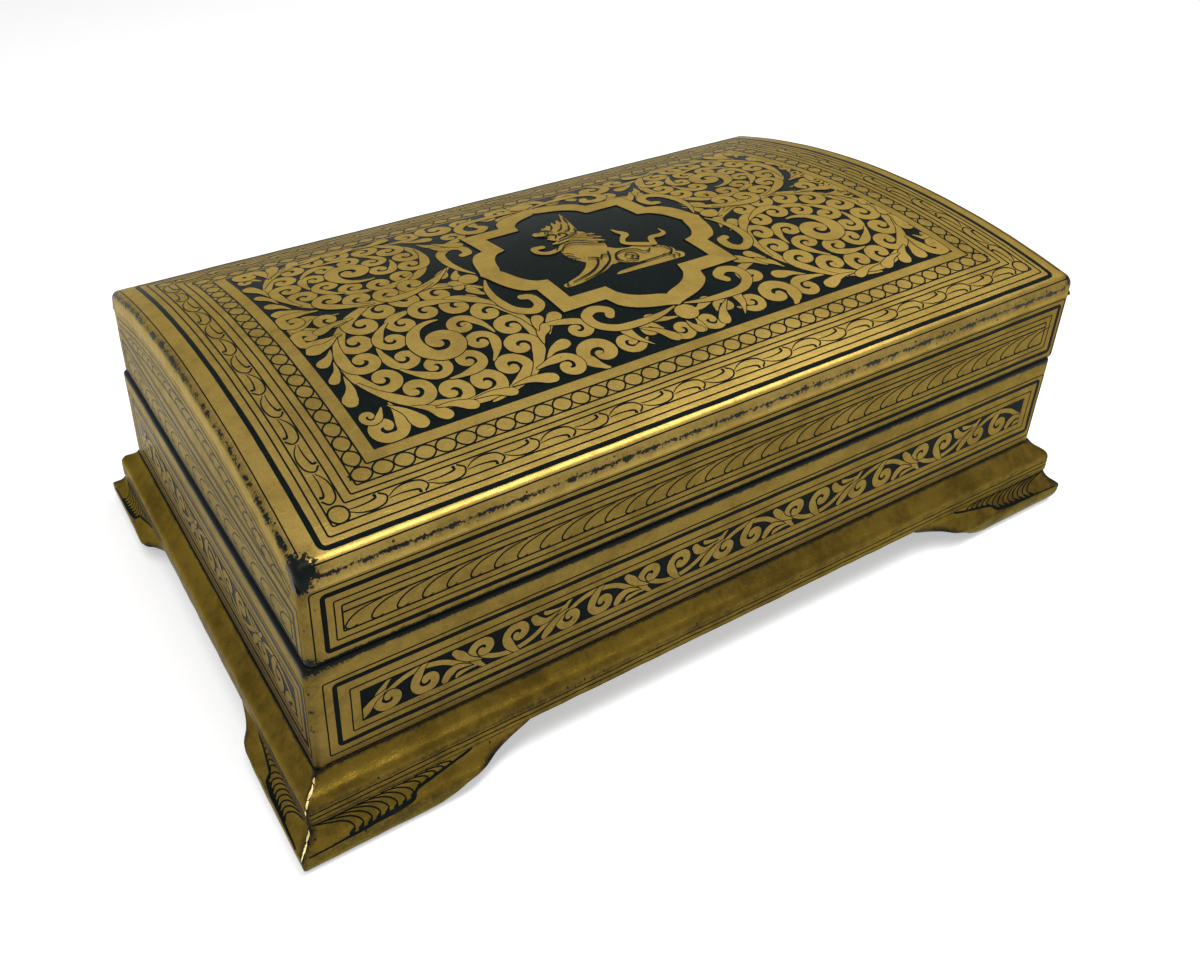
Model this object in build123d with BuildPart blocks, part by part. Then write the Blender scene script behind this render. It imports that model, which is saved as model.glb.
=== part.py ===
from build123d import *
import os
from collections import namedtuple

# A lidded box of wood, lacquered black and gilded, on a moulded plinth with four bracket feet.
# The long sides face -Y and +Y. The origin is on the ground, under the middle of the box.

# Driving sizes of the case, in millimetres
length = 300.0
depth = 176.0
rim_height = 64.0
wall_thickness = 8.5
corner_round = 2.0
floor_thickness = 6.0

# The liner that stands up past the rim and keeps the lid in its place
lip_thickness = 3.0
lip_rise = 6.0
edge_round = 0.6

# The plinth: a sloped moulding over an upright band, mitred round the case
band_bottom = 14.4
band_top = 19.6
plinth_top = 26.3
plinth_projection = 6.2
plinth_quirk = 0.35
nose_end = (4.3, 22.6)

# The bracket feet: a cove that flares to a lip, then rounds in to the ground
foot_back = 6.0
foot_top_inset = 0.7
foot_lip_projection = 10.7
foot_lip_height = 7.2
foot_lip_turn_above = (0.5, 1.1)
foot_lip_turn_below = (0.2, 1.0)
foot_ground_projection = 8.6
cove_steepness = (0.12, -1)
heel_steepness = (0.05, -1)
long_foot_length = 69.0
short_foot_length = 51.0
block_size = 15.0
block_nose = 0.35 * block_size
block_clearance = 0.8

# Front view of a bracket, in shares of its length from the corner and of its height
foot_flat_share = 0.44
foot_ogee = ((0.53, 0.13), (0.62, 0.38), (0.75, 0.62), (0.88, 0.77), (0.96, 0.86))
foot_tip_lean = 0.4

# The lid
lid_wall_thickness = 7.0
lid_wall_height = 32.9
crown_rise = 12.0
crown_thickness = 7.0
long_arris_round = 4.0
end_arris_round = 2.4
lid_push = 1.1
seam_round = 0.6

# The pegs that pin the mitred corners
peg_radius = 1.5
peg_length = 22.0
case_peg_heights = (30.0, 42.0, 54.0)
lid_peg_heights = (70.0, 83.0)

# Worked out from the driving sizes
arris_height = rim_height + lid_wall_height
crown_top = arris_height + crown_rise
floor_top = band_bottom + floor_thickness
lip_top = rim_height + lip_rise
flare = foot_lip_projection
reach = 2.0 * length
margin = 1.0

os.makedirs("parts", exist_ok=True)

# Each side is named by the way it faces. Along a side, the run goes to the right as seen from outside.
Side = namedtuple("Side", "name outward run half_run face")
sides = [
    Side("front", Vector(0, -1, 0), Vector(1, 0, 0), length / 2, depth / 2),
    Side("right", Vector(1, 0, 0), Vector(0, 1, 0), depth / 2, length / 2),
    Side("back", Vector(0, 1, 0), Vector(-1, 0, 0), length / 2, depth / 2),
    Side("left", Vector(-1, 0, 0), Vector(0, -1, 0), depth / 2, length / 2),
]


def section_plane(side):
    """Upright plane across a side: x is the distance out of the wall's face, y is height."""
    return Plane(origin=side.outward * side.face, x_dir=side.outward, z_dir=side.run * -1)


def mitre(side, inner, outer, low, high):
    """Keep what lies in this side's quarter of the box, between its two mitred corners."""
    with BuildSketch(Plane(origin=(0, 0, low), x_dir=side.outward, z_dir=(0, 0, 1))) as quarter:
        with BuildLine():
            Polyline(
                (side.face - inner, -(side.half_run - inner)),
                (side.face + outer, -(side.half_run + outer)),
                (side.face + outer, side.half_run + outer),
                (side.face - inner, side.half_run - inner),
                close=True,
            )
        make_face()
    extrude(quarter.sketch, amount=high - low, mode=Mode.INTERSECT)


def peg_holes(heights, mode):
    """Cylinders along Y through the mitred corners, in from the front and from the back."""
    middle = lid_wall_thickness / 2
    for height in heights:
        for x in (-length / 2 + middle, length / 2 - middle):
            for y, turn in ((-depth / 2, -90), (depth / 2, 90)):
                with Locations(Location((x, y, height), (turn, 0, 0))):
                    Cylinder(peg_radius, peg_length, align=(Align.CENTER, Align.CENTER, Align.MIN), mode=mode)


def save(part, name):
    """Label a finished piece and write it under its own name."""
    part.label = name
    export_step(part, f"parts/{name}.step")


# The case: four mitred boards round a floor board
for side in sides:
    with BuildPart() as case_wall:
        with BuildSketch(Plane.XY.offset(band_bottom)):
            RectangleRounded(length, depth, corner_round)
        extrude(amount=rim_height - band_bottom)
        fillet(case_wall.edges().group_by(Axis.Z)[-1], edge_round)
        with BuildSketch(Plane.XY.offset(band_bottom)):
            Rectangle(length - 2 * wall_thickness, depth - 2 * wall_thickness)
        extrude(amount=rim_height - band_bottom, mode=Mode.SUBTRACT)
        mitre(side, wall_thickness, margin, band_bottom, rim_height)
        peg_holes(case_peg_heights, Mode.SUBTRACT)
    save(case_wall.part, f"case_{side.name}_wall")

with BuildPart() as floor_board:
    with BuildSketch(Plane.XY.offset(band_bottom)):
        Rectangle(length - 2 * wall_thickness, depth - 2 * wall_thickness)
    extrude(amount=floor_thickness)
save(floor_board.part, "floor_board")

# The liner stands on the floor board, against the walls, and rises past the rim
for side in sides:
    with BuildPart() as liner:
        with BuildSketch(section_plane(side)):
            with BuildLine():
                outside = -wall_thickness
                inside = outside - lip_thickness
                Polyline(
                    (outside, floor_top),
                    (outside, lip_top - edge_round),
                    (outside - edge_round, lip_top),
                    (inside + edge_round, lip_top),
                    (inside, lip_top - edge_round),
                    (inside, floor_top),
                    close=True,
                )
            make_face()
        extrude(amount=reach, both=True)
        mitre(side, wall_thickness + lip_thickness, 0.0, floor_top, lip_top)
    save(liner.part, f"lip_liner_{side.name}")

# The plinth: an upright band, a rounded nose and a cove that dies into the wall
for side in sides:
    with BuildPart() as plinth:
        with BuildSketch(section_plane(side)):
            with BuildLine():
                Polyline(
                    (plinth_quirk, plinth_top),
                    (0, plinth_top),
                    (0, band_bottom),
                    (plinth_projection, band_bottom),
                    (plinth_projection, band_top),
                )
                nose = TangentArc((plinth_projection, band_top), nose_end, tangent=(0, 1))
                TangentArc(nose @ 1, (plinth_quirk, plinth_top), tangent=nose % 1)
            make_face()
        extrude(amount=reach, both=True)
        mitre(side, 0.0, flare, band_bottom, plinth_top)
    save(plinth.part, f"plinth_{side.name}")


def foot_outline(side, end, foot_length):
    """Front view of one bracket: flat on the ground, an ogee up, and a small round tip at the plinth."""
    corner = side.half_run * end
    ogee = [(corner - end * part * foot_length, rise * band_bottom) for part, rise in foot_ogee]
    start = (corner - end * foot_flat_share * foot_length, 0)
    finish = (corner - end * foot_length, band_bottom)
    outer = corner + end * (flare + margin)
    with BuildLine() as outline:
        Spline([start, *ogee, finish], tangents=[(-end, 0), (-foot_tip_lean * end, 1)])
        Polyline(finish, (outer, band_bottom), (outer, 0), start)
    make_face(outline.edges())


# Two mitred brackets make each foot
for side in sides:
    foot_length = long_foot_length if side.outward.X == 0 else short_foot_length
    for end, hand in ((-1, "a"), (1, "b")):
        with BuildPart() as bracket:
            with BuildSketch(section_plane(side)):
                with BuildLine():
                    top = (plinth_projection - foot_top_inset, band_bottom)
                    above, below = Vector(foot_lip_turn_above), Vector(foot_lip_turn_below)
                    lip = (foot_lip_projection - above.X, foot_lip_height + above.Y)
                    under = (foot_lip_projection - below.X, foot_lip_height - below.Y)
                    Polyline(
                        (foot_ground_projection, 0),
                        (-foot_back, 0),
                        (-foot_back, band_bottom),
                        top,
                    )
                    TangentArc(top, lip, tangent=cove_steepness)
                    ThreePointArc(lip, (foot_lip_projection, foot_lip_height), under)
                    TangentArc(under, (foot_ground_projection, 0), tangent=heel_steepness)
                make_face()
            extrude(amount=reach, both=True)
            mitre(side, foot_back, flare + margin, 0.0, band_bottom)
            with BuildSketch(Plane(origin=(0, 0, 0), x_dir=side.run, z_dir=side.outward)):
                foot_outline(side, end, foot_length)
            extrude(amount=reach, both=True, mode=Mode.INTERSECT)
        save(bracket.part, f"foot_{side.name}_{hand}")

# A glue block stiffens each foot from behind
for end_name, x in (("left", -1), ("right", 1)):
    for side_name, y in (("front", -1), ("back", 1)):
        with BuildPart() as glue_block:
            corner_x = x * (length / 2 - foot_back)
            corner_y = y * (depth / 2 - foot_back)
            with BuildSketch(Plane.XY.offset(block_clearance)):
                with BuildLine():
                    Polyline(
                        (corner_x, corner_y),
                        (corner_x - x * block_size, corner_y),
                        (corner_x - x * block_size, corner_y - y * block_nose),
                        (corner_x - x * block_nose, corner_y - y * block_size),
                        (corner_x, corner_y - y * block_size),
                        close=True,
                    )
                make_face()
            extrude(amount=band_bottom - block_clearance)
        save(glue_block.part, f"glue_block_{side_name}_{end_name}")

with BuildPart() as case_pegs:
    peg_holes(case_peg_heights, Mode.ADD)
save(case_pegs.part, "case_corner_pegs")


def under_arch(base_height, reach_each_way, mode):
    """The space below an arch that springs from this height, run along X from the middle."""
    with BuildSketch(Plane.YZ) as section:
        with BuildLine():
            Polyline(
                (-depth / 2, base_height),
                (-depth / 2, rim_height),
                (depth / 2, rim_height),
                (depth / 2, base_height),
            )
            ThreePointArc(
                (-depth / 2, base_height),
                (0, base_height + crown_rise),
                (depth / 2, base_height),
            )
        make_face()
    return extrude(section.sketch, amount=reach_each_way, both=True, mode=mode)


def lid_block(lid_part):
    """Give a part the lid's outer shape, as if solid: upright sides under a low arch, with eased arrises."""
    under_arch(arris_height, length / 2, Mode.ADD)
    fillet(lid_part.edges().filter_by(Axis.X).group_by(Axis.Z)[-1], long_arris_round)
    fillet(lid_part.edges().filter_by(GeomType.CIRCLE), end_arris_round)


# The lid: four mitred boards under a crown board that is planed to an arch
crown_underside = arris_height - crown_thickness
pushed = Location((lid_push, 0, 0))

with BuildPart() as crown_board:
    lid_block(crown_board)
    under_arch(crown_underside, reach, Mode.SUBTRACT)
save(crown_board.part.moved(pushed), "crown_board")

for side in sides:
    with BuildPart() as lid_wall:
        lid_block(lid_wall)
        fillet(lid_wall.edges().group_by(Axis.Z)[0], seam_round)
        under_arch(crown_underside, reach, Mode.INTERSECT)
        with BuildSketch(Plane.XY.offset(rim_height)):
            Rectangle(length - 2 * lid_wall_thickness, depth - 2 * lid_wall_thickness)
        extrude(amount=crown_top - rim_height, mode=Mode.SUBTRACT)
        mitre(side, lid_wall_thickness, margin, rim_height, crown_top)
        peg_holes(lid_peg_heights, Mode.SUBTRACT)
    save(lid_wall.part.moved(pushed), f"lid_{side.name}_wall")

with BuildPart() as lid_pegs:
    peg_holes(lid_peg_heights, Mode.ADD)
save(lid_pegs.part.moved(pushed), "lid_corner_pegs")
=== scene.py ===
# %% [markdown]
# # A gilded lacquer box with an arched lid
# The box is wood, coated with black lacquer and gilded with gold leaf, and all of its lines and scrolls are
# left black or drawn in black. This lesson dresses the fixed frame of the box in that finish. It works in
# millimetres and turns them into metres where a mesh is made.

# %% Load the frame
import bmesh
import bpy
import numpy as np
from math import pi, sin, cos, atan2, radians
from mathutils import Matrix, Vector


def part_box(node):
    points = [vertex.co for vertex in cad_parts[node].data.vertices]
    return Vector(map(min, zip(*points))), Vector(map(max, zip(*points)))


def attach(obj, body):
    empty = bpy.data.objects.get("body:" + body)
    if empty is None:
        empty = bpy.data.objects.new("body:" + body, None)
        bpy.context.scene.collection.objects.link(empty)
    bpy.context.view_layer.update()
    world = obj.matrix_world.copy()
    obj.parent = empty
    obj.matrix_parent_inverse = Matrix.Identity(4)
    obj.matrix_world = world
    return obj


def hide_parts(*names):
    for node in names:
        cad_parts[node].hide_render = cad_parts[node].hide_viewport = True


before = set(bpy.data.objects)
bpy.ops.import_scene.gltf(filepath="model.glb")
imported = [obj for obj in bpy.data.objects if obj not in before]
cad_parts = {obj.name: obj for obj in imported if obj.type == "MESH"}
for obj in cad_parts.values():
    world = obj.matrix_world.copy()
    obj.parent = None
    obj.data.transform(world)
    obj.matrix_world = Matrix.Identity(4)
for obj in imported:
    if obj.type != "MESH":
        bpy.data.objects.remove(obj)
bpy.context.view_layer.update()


# %% [markdown]
# ## The sizes that everything follows
# Every size comes from the frame's own nodes, so the finish sits exactly on the boards. Only what the frame
# does not hold, such as the radius of an eased corner, is written here as a number.

# %% Read the sizes of the boards
MM = 0.001


def node_box(name):
    """The lowest and highest corners of a node, in millimetres."""
    low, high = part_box(name)
    return np.array(low) / MM, np.array(high) / MM


front_low, front_high = node_box("case_front_wall")
crown_low, crown_high = node_box("crown_board")
lid_low, lid_high = node_box("lid_front_wall")
plinth_high = node_box("plinth_front")[1]

HALF_DEPTH = -front_low[1]
HALF_LENGTH = (crown_high[0] - crown_low[0]) / 2
PUSH = (crown_high[0] + crown_low[0]) / 2
CASE_WALL = front_high[1] - front_low[1]
LID_WALL = lid_high[1] - lid_low[1]
BAND_BOTTOM, RIM = front_low[2], front_high[2]
PLINTH_TOP = plinth_high[2]
CROWN_RISE = 12.0
CROWN_TOP = crown_high[2]
ARRIS = CROWN_TOP - CROWN_RISE
CROWN_BOARD = 7.0
LONG_ROUND, END_ROUND, CASE_ROUND = 4.0, 2.4, 2.0
ARCH_RADIUS = (HALF_DEPTH**2 + CROWN_RISE**2) / (2 * CROWN_RISE)
ARCH_CENTRE = CROWN_TOP - ARCH_RADIUS
print("half length", HALF_LENGTH, "half depth", HALF_DEPTH, "rim", RIM, "arris", ARRIS, "push", PUSH)

# %% [markdown]
# ## The camera
# The photograph looks down on the near left corner with a short lens, close to the box. Its place and its
# lens come from the corners of the box in the picture. A small shift keeps the box where the picture has it.

# %% Set up the camera
CAMERA_TURN, CAMERA_HEIGHT, CAMERA_ROLL = radians(-29.26), radians(29.78), radians(-1.35)
CAMERA_DISTANCE = 384.9
CAMERA_AIM = Vector((-50.1, 0.0, 93.3))
IMAGE_WIDTH = 1200
FOCAL_PIXELS = 1121.9
SHIFT_PIXELS = (134.0, -152.7)
SENSOR = 36.0


def new_object(name, data):
    """An object at the origin with this data, linked into the scene."""
    thing = bpy.data.objects.new(name, data)
    bpy.context.scene.collection.objects.link(thing)
    return thing


flat_share = cos(CAMERA_HEIGHT)
back = Vector((sin(CAMERA_TURN) * flat_share, -cos(CAMERA_TURN) * flat_share, sin(CAMERA_HEIGHT)))
level = Vector((0, 0, 1)).cross(back).normalized()
upright = back.cross(level)
right = level * cos(CAMERA_ROLL) + upright * sin(CAMERA_ROLL)
up = upright * cos(CAMERA_ROLL) - level * sin(CAMERA_ROLL)
camera = new_object("camera", bpy.data.cameras.new("camera"))
turn = Matrix((right, up, back)).transposed().to_4x4()
camera.matrix_world = Matrix.Translation((CAMERA_AIM + back * CAMERA_DISTANCE) * MM) @ turn
camera.data.sensor_width = SENSOR
camera.data.lens = FOCAL_PIXELS * SENSOR / IMAGE_WIDTH
camera.data.shift_x = SHIFT_PIXELS[0] / IMAGE_WIDTH
camera.data.shift_y = SHIFT_PIXELS[1] / IMAGE_WIDTH
camera.data.clip_start = 0.01
bpy.context.scene.camera = camera
print("camera at", [round(value, 3) for value in camera.matrix_world.translation])

# %% [markdown]
# ## A surface made by hand
# The boards were planed and lacquered by hand, so no face is quite flat. A few long waves, each with a
# heading, a phase and a strength, push a skin out by a fraction of a millimetre. The same function moves the
# skins and the drawn lines, so the lines stay on the skin.

# %% Define the unevenness
SKIN_DEPTH, SKIN_LENGTH = 0.16, 34.0
LONG_WAVES = (
    ((0.9, 0.35, 0.0), 1.3, 1.0),
    ((0.31, -1.1, 0.8), 4.1, 1.0),
    ((1.7, 0.2, -1.9), 2.2, 0.7),
    ((-1.2, 1.9, 2.3), 0.0, 0.5),
)


def unevenness(points, depth=SKIN_DEPTH, length=SKIN_LENGTH):
    """How far the skin stands out at each point, from 0 to depth, as a smooth function of place."""
    places = 2 * pi / length * np.asarray(points, dtype=float)
    waves = sum(strength * np.sin(places @ heading + phase) for heading, phase, strength in LONG_WAVES)
    reach = sum(strength for _, _, strength in LONG_WAVES)
    return depth * (waves / (2 * reach) + 0.5)


def make_mesh(name, points, faces, material=None):
    """A mesh object at the origin from points in millimetres."""
    mesh = bpy.data.meshes.new(name)
    mesh.from_pydata((np.asarray(points) * MM).tolist(), [], faces)
    mesh.validate()
    mesh.update()
    if material:
        mesh.materials.append(material)
    return new_object(name, mesh)


def smooth_by_angle(thing, angle=radians(38)):
    """Smooth shading, broken at edges that turn by more than the angle."""
    mesh = thing.data
    mesh.polygons.foreach_set("use_smooth", [True] * len(mesh.polygons))
    mesh.set_sharp_from_angle(angle=angle)


def write_wear(thing, values):
    """Store one wear value for each point of a skin, for its material to read."""
    layer = thing.data.attributes.new("wear", "FLOAT", "POINT")
    layer.data.foreach_set("value", np.clip(values, -1, 2).astype(np.float32))


# %% [markdown]
# ## Lofting a board
# A board of this box is one closed outline carried from mitre to mitre. The outline may change a little on
# the way, so each board is made as a row of loops, and neighbouring loops are joined with four-sided faces.


# %% Define the loft
def ring_faces(rows, across):
    """Four-sided faces between neighbouring closed loops, whose points are stored loop after loop."""
    faces = []
    for i in range(rows - 1):
        for j in range(across):
            k = (j + 1) % across
            faces.append((i * across + j, i * across + k, (i + 1) * across + k, (i + 1) * across + j))
    return faces


def loft(name, loops, material, inside=None):
    """A closed mesh through rows of loops. A face between two points flagged in inside is left black."""
    loops = np.asarray(loops)
    rows, across = loops.shape[:2]
    first_end, last_end = range(across), range((rows - 1) * across, rows * across)
    faces = ring_faces(rows, across) + [tuple(reversed(first_end)), tuple(last_end)]
    board = make_mesh(name, loops.reshape(-1, 3), faces, material)
    if inside is not None:
        board.data.materials.append(black_lacquer)
        one_ring = [int(inside[j] and inside[(j + 1) % across]) for j in range(across)]
        board.data.polygons.foreach_set("material_index", one_ring * (rows - 1) + [1, 1])
    return board


def tidy(board):
    """Merge doubled points, drop collapsed faces and point every face outwards."""
    work = bmesh.new()
    work.from_mesh(board.data)
    bmesh.ops.remove_doubles(work, verts=work.verts, dist=2e-6)
    bmesh.ops.dissolve_degenerate(work, edges=work.edges, dist=1e-7)
    bmesh.ops.recalc_face_normals(work, faces=work.faces)
    work.to_mesh(board.data)
    work.free()
    smooth_by_angle(board)
    return board


# %% [markdown]
# Each side of the box has its own directions: outward, and along the run to the right as seen from outside.
# A point on a side is then a place along the run, a distance out of the wall's face, and a height.

# %% Name the four sides
SIDES = {
    "front": (np.array([0, -1, 0]), np.array([1, 0, 0]), HALF_LENGTH, HALF_DEPTH),
    "right": (np.array([1, 0, 0]), np.array([0, 1, 0]), HALF_DEPTH, HALF_LENGTH),
    "back": (np.array([0, 1, 0]), np.array([-1, 0, 0]), HALF_LENGTH, HALF_DEPTH),
    "left": (np.array([-1, 0, 0]), np.array([0, -1, 0]), HALF_DEPTH, HALF_LENGTH),
}
CORNER_STEPS = np.radians([0, 15, 30, 45])


def place(side, run, out, height, push=0.0):
    """Points of a side in the box's own frame."""
    outward, along, _, face = SIDES[side]
    run, out, height = np.broadcast_arrays(run, out, height)
    flat = np.multiply.outer(face + out, outward) + np.multiply.outer(run, along)
    flat = flat.astype(float)
    flat[..., 2] = height
    flat[..., 0] += push
    return flat


def stations(half_run, spacing):
    """Fractions along a board, with the turn of its rounded corner added at each end."""
    middle = [(f, 0.0) for f in np.linspace(-1, 1, int(2 * half_run / spacing) | 1)]
    start = [(-1.0, angle) for angle in CORNER_STEPS[:0:-1]]
    finish = [(1.0, angle) for angle in CORNER_STEPS[1:]]
    return start + middle + finish


def board_loops(side, section, corner, spacing=2.6, push=0.0, rise=None, depth=SKIN_DEPTH):
    """Rows of loops for a mitred board. A section point is (out, height, normal out, normal up, skin)."""
    _, _, half_run, _ = SIDES[side]
    out, height, normal_out, normal_up, skin = np.array(section, dtype=float).T
    round_off = corner * skin
    loops = []
    for fraction, angle in stations(half_run, spacing):
        hand = np.sign(fraction) if angle else 0.0
        run = fraction * (half_run + out - round_off) + hand * round_off * sin(angle)
        here = out - round_off * (1 - cos(angle))
        level = height + (rise(run, height) if rise else 0.0)
        base = place(side, run, here, level, push)
        bump = unevenness(base, depth) * skin
        loops.append(
            place(
                side,
                run + hand * bump * normal_out * sin(angle),
                here + bump * normal_out * cos(angle),
                level + bump * normal_up,
                push,
            )
        )
    return loops


# %% [markdown]
# ## The lid's outer shape
# Seen from the end, the lid is a low arch on upright walls, with a rounded arris between them. One
# function gives the section by its distance over the crown, and a second one rolls it over at the ends.
# The skins and every drawn line on the lid use the same two functions.

# %% Define the lid's surface
SPRING = np.arcsin((HALF_DEPTH - LONG_ROUND) / (ARCH_RADIUS - LONG_ROUND))
ARCH_LENGTH = ARCH_RADIUS * SPRING
BEND_LENGTH = LONG_ROUND * (pi / 2 - SPRING)
BEND_Y = HALF_DEPTH - LONG_ROUND
BEND_Z = ARCH_CENTRE + (ARCH_RADIUS - LONG_ROUND) * cos(SPRING)
HALF_CROWN = ARCH_RADIUS * np.arcsin(HALF_DEPTH / ARCH_RADIUS)
UNDERSIDE = ARRIS - CROWN_BOARD


def lid_section(s):
    """Section of the lid by distance from its ridge, positive to the back: y, height and the normal."""
    s = np.asarray(s, dtype=float)
    hand, far = np.sign(s), np.abs(s)
    angle = np.where(far < ARCH_LENGTH, far / ARCH_RADIUS, SPRING + (far - ARCH_LENGTH) / LONG_ROUND)
    angle = np.minimum(angle, pi / 2)
    arch = far <= ARCH_LENGTH
    radius = np.where(arch, ARCH_RADIUS, LONG_ROUND)
    y = np.where(arch, 0.0, BEND_Y) + radius * np.sin(angle)
    z = np.where(arch, ARCH_CENTRE, BEND_Z) + radius * np.cos(angle)
    z = z - np.maximum(far - ARCH_LENGTH - BEND_LENGTH, 0)
    return hand * y, z, hand * np.sin(angle), np.cos(angle)


def on_lid(x, s, lift=0.0):
    """Points on the lid's skin, x along from its middle and s over the crown from its ridge."""
    x, s, lift = np.broadcast_arrays(np.asarray(x, dtype=float), s, lift)
    y, z, normal_y, normal_z = lid_section(s)
    straight = HALF_LENGTH - END_ROUND
    over = np.clip((np.abs(x) - straight) / END_ROUND, 0, pi / 2)
    inset = END_ROUND * (1 - np.cos(over))
    along = np.sign(x) * (np.minimum(np.abs(x), straight) + END_ROUND * np.sin(over))
    base = np.stack([along + PUSH, y - normal_y * inset, z - normal_z * inset], -1)
    normal = np.stack([np.sign(x) * np.sin(over), normal_y * np.cos(over), normal_z * np.cos(over)], -1)
    bump = unevenness(base)
    return base + normal * (lift + bump)[..., None]


def wall_distance(z):
    """The distance over the crown, from the ridge, to a height on the upright front wall."""
    return ARCH_LENGTH + BEND_LENGTH + (BEND_Z - z)


def under_crown(y):
    """Height of the crown board's underside."""
    return ARCH_CENTRE - CROWN_BOARD + np.sqrt(ARCH_RADIUS**2 - np.asarray(y, dtype=float) ** 2)


print("arch", round(float(ARCH_LENGTH), 1), "half crown", round(float(HALF_CROWN), 1))

# %% [markdown]
# ## Building with nodes
# The finishes are node materials. A short helper adds a node, sets its options and fills its inputs, with
# either a value or a link. That keeps each recipe short enough to read as a list.


# %% Define the node helpers
def feed(tree, node, **inputs):
    """Fill inputs with values or links. A name has underscores for spaces, or is i and a number."""
    for name, value in inputs.items():
        numbered = name[0] == "i" and name[1:].isdigit()
        socket = node.inputs[int(name[1:]) if numbered else name.replace("_", " ")]
        if isinstance(value, bpy.types.NodeSocket):
            tree.links.new(value, socket)
        else:
            socket.default_value = value


def add_node(tree, kind, options=None, **inputs):
    """Add a node, set its options and feed its inputs."""
    node = tree.nodes.new(kind)
    for option, value in (options or {}).items():
        setattr(node, option, value)
    feed(tree, node, **inputs)
    return node


def calculate(tree, operation, *values, clamp=False):
    """A Math node over values or sockets."""
    options = {"operation": operation, "use_clamp": clamp}
    inputs = {f"i{number}": value for number, value in enumerate(values)}
    return add_node(tree, "ShaderNodeMath", options, **inputs).outputs[0]


def weighted_sum(tree, start, *parts):
    """A start value plus sockets times their weights, as a chain of Math nodes."""
    total = start
    for socket, weight in parts:
        total = calculate(tree, "MULTIPLY_ADD", socket, weight, total)
    return total


def blend_colours(tree, factor, first, second):
    """Mix two colours, or two sockets that hold colours."""
    mix = add_node(tree, "ShaderNodeMix", {"data_type": "RGBA"}, i0=factor, i6=first, i7=second)
    return mix.outputs[2]


def step_between(tree, value, low, high):
    """0 below the low value, 1 above the high one, and smooth between them."""
    options = {"interpolation_type": "SMOOTHSTEP"}
    ramp = add_node(tree, "ShaderNodeMapRange", options, Value=value, From_Min=low, From_Max=high)
    return ramp.outputs[0]


def object_place(tree):
    """The place of a shaded point in its object's own frame."""
    return add_node(tree, "ShaderNodeTexCoord").outputs["Object"]


def noise(tree, spot, scale, detail, roughness):
    """The value of a noise texture at a spot, with a scale in waves per metre."""
    inputs = {"Vector": spot, "Scale": scale, "Detail": detail, "Roughness": roughness}
    return add_node(tree, "ShaderNodeTexNoise", None, **inputs).outputs[0]


def raised_normal(tree, height, strength, distance):
    """The normal of a surface that a height stands out from, by a distance in metres."""
    bump = add_node(tree, "ShaderNodeBump", None, Height=height, Strength=strength, Distance=distance)
    return bump.outputs[0]


def new_group(name, inputs, outputs):
    """A shader node group with named sockets. Returns the tree and its two end nodes."""
    tree = bpy.data.node_groups.new(name, "ShaderNodeTree")
    for socket, kind, value in inputs:
        made = tree.interface.new_socket(socket, in_out="INPUT", socket_type=kind)
        made.default_value = value
    for socket, kind in outputs:
        tree.interface.new_socket(socket, in_out="OUTPUT", socket_type=kind)
    return tree, tree.nodes.new("NodeGroupInput"), tree.nodes.new("NodeGroupOutput")


FLOAT, COLOUR = "NodeSocketFloat", "NodeSocketColor"

# %% [markdown]
# ## Gold leaf laid by hand
# Leaf goes down in small squares over sticky lacquer. It is never one colour: it pools, thins and darkens
# with age, and fine scratches cross it. This group gives the colour, the roughness and the height of such
# leaf from noise at several sizes, and every gilded piece uses it.

# %% Make the leaf group
leaf, leaf_in, leaf_out = new_group(
    "hand laid leaf",
    [
        ("Leaf", COLOUR, (0.5, 0.36, 0.12, 1)),
        ("Aged", COLOUR, (0.2, 0.12, 0.03, 1)),
        ("Ageing", FLOAT, 0.5),
        ("Polish", FLOAT, 0.3),
    ],
    [("Colour", COLOUR), ("Roughness", FLOAT), ("Height", FLOAT)],
)
spot = object_place(leaf)
patches = noise(leaf, spot, 42.0, 3.0, 0.6)
clouds = noise(leaf, spot, 210.0, 5.0, 0.7)
grain = noise(leaf, spot, 1500.0, 2.0, 0.6)
stretched = add_node(leaf, "ShaderNodeMapping", None, Vector=spot, Rotation=(0, 0, 0.6), Scale=(0.12, 1, 1))
hairs = step_between(leaf, noise(leaf, stretched.outputs[0], 1900.0, 1.0, 0.5), 0.66, 0.72)
age = step_between(leaf, weighted_sum(leaf, 0.0, (patches, 0.9), (clouds, 0.9)), 0.72, 1.14)
aged = calculate(leaf, "MULTIPLY", age, leaf_in.outputs["Ageing"], clamp=True)
laid = blend_colours(leaf, aged, leaf_in.outputs["Leaf"], leaf_in.outputs["Aged"])
shade = weighted_sum(leaf, 0.75, (grain, 0.5))
laid = add_node(leaf, "ShaderNodeVectorMath", {"operation": "SCALE"}, i0=laid, Scale=shade).outputs[0]
rough = weighted_sum(leaf, leaf_in.outputs["Polish"], (clouds, 0.26), (hairs, 0.12))
height = weighted_sum(leaf, 0.0, (clouds, 1.0), (grain, 0.3), (hairs, -0.1))
feed(leaf, leaf_out, Colour=laid, Roughness=rough, Height=height)
print("leaf group has", len(leaf.nodes), "nodes")

# %% [markdown]
# ## Where the gold has rubbed away
# Hands and other boxes rub the corners, and black lacquer comes through. Each skin carries a wear value at
# its points, high at the arrises. This group cuts it with noise, so the edge of the worn place is ragged,
# and adds a few pits where the leaf has flaked.

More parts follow.
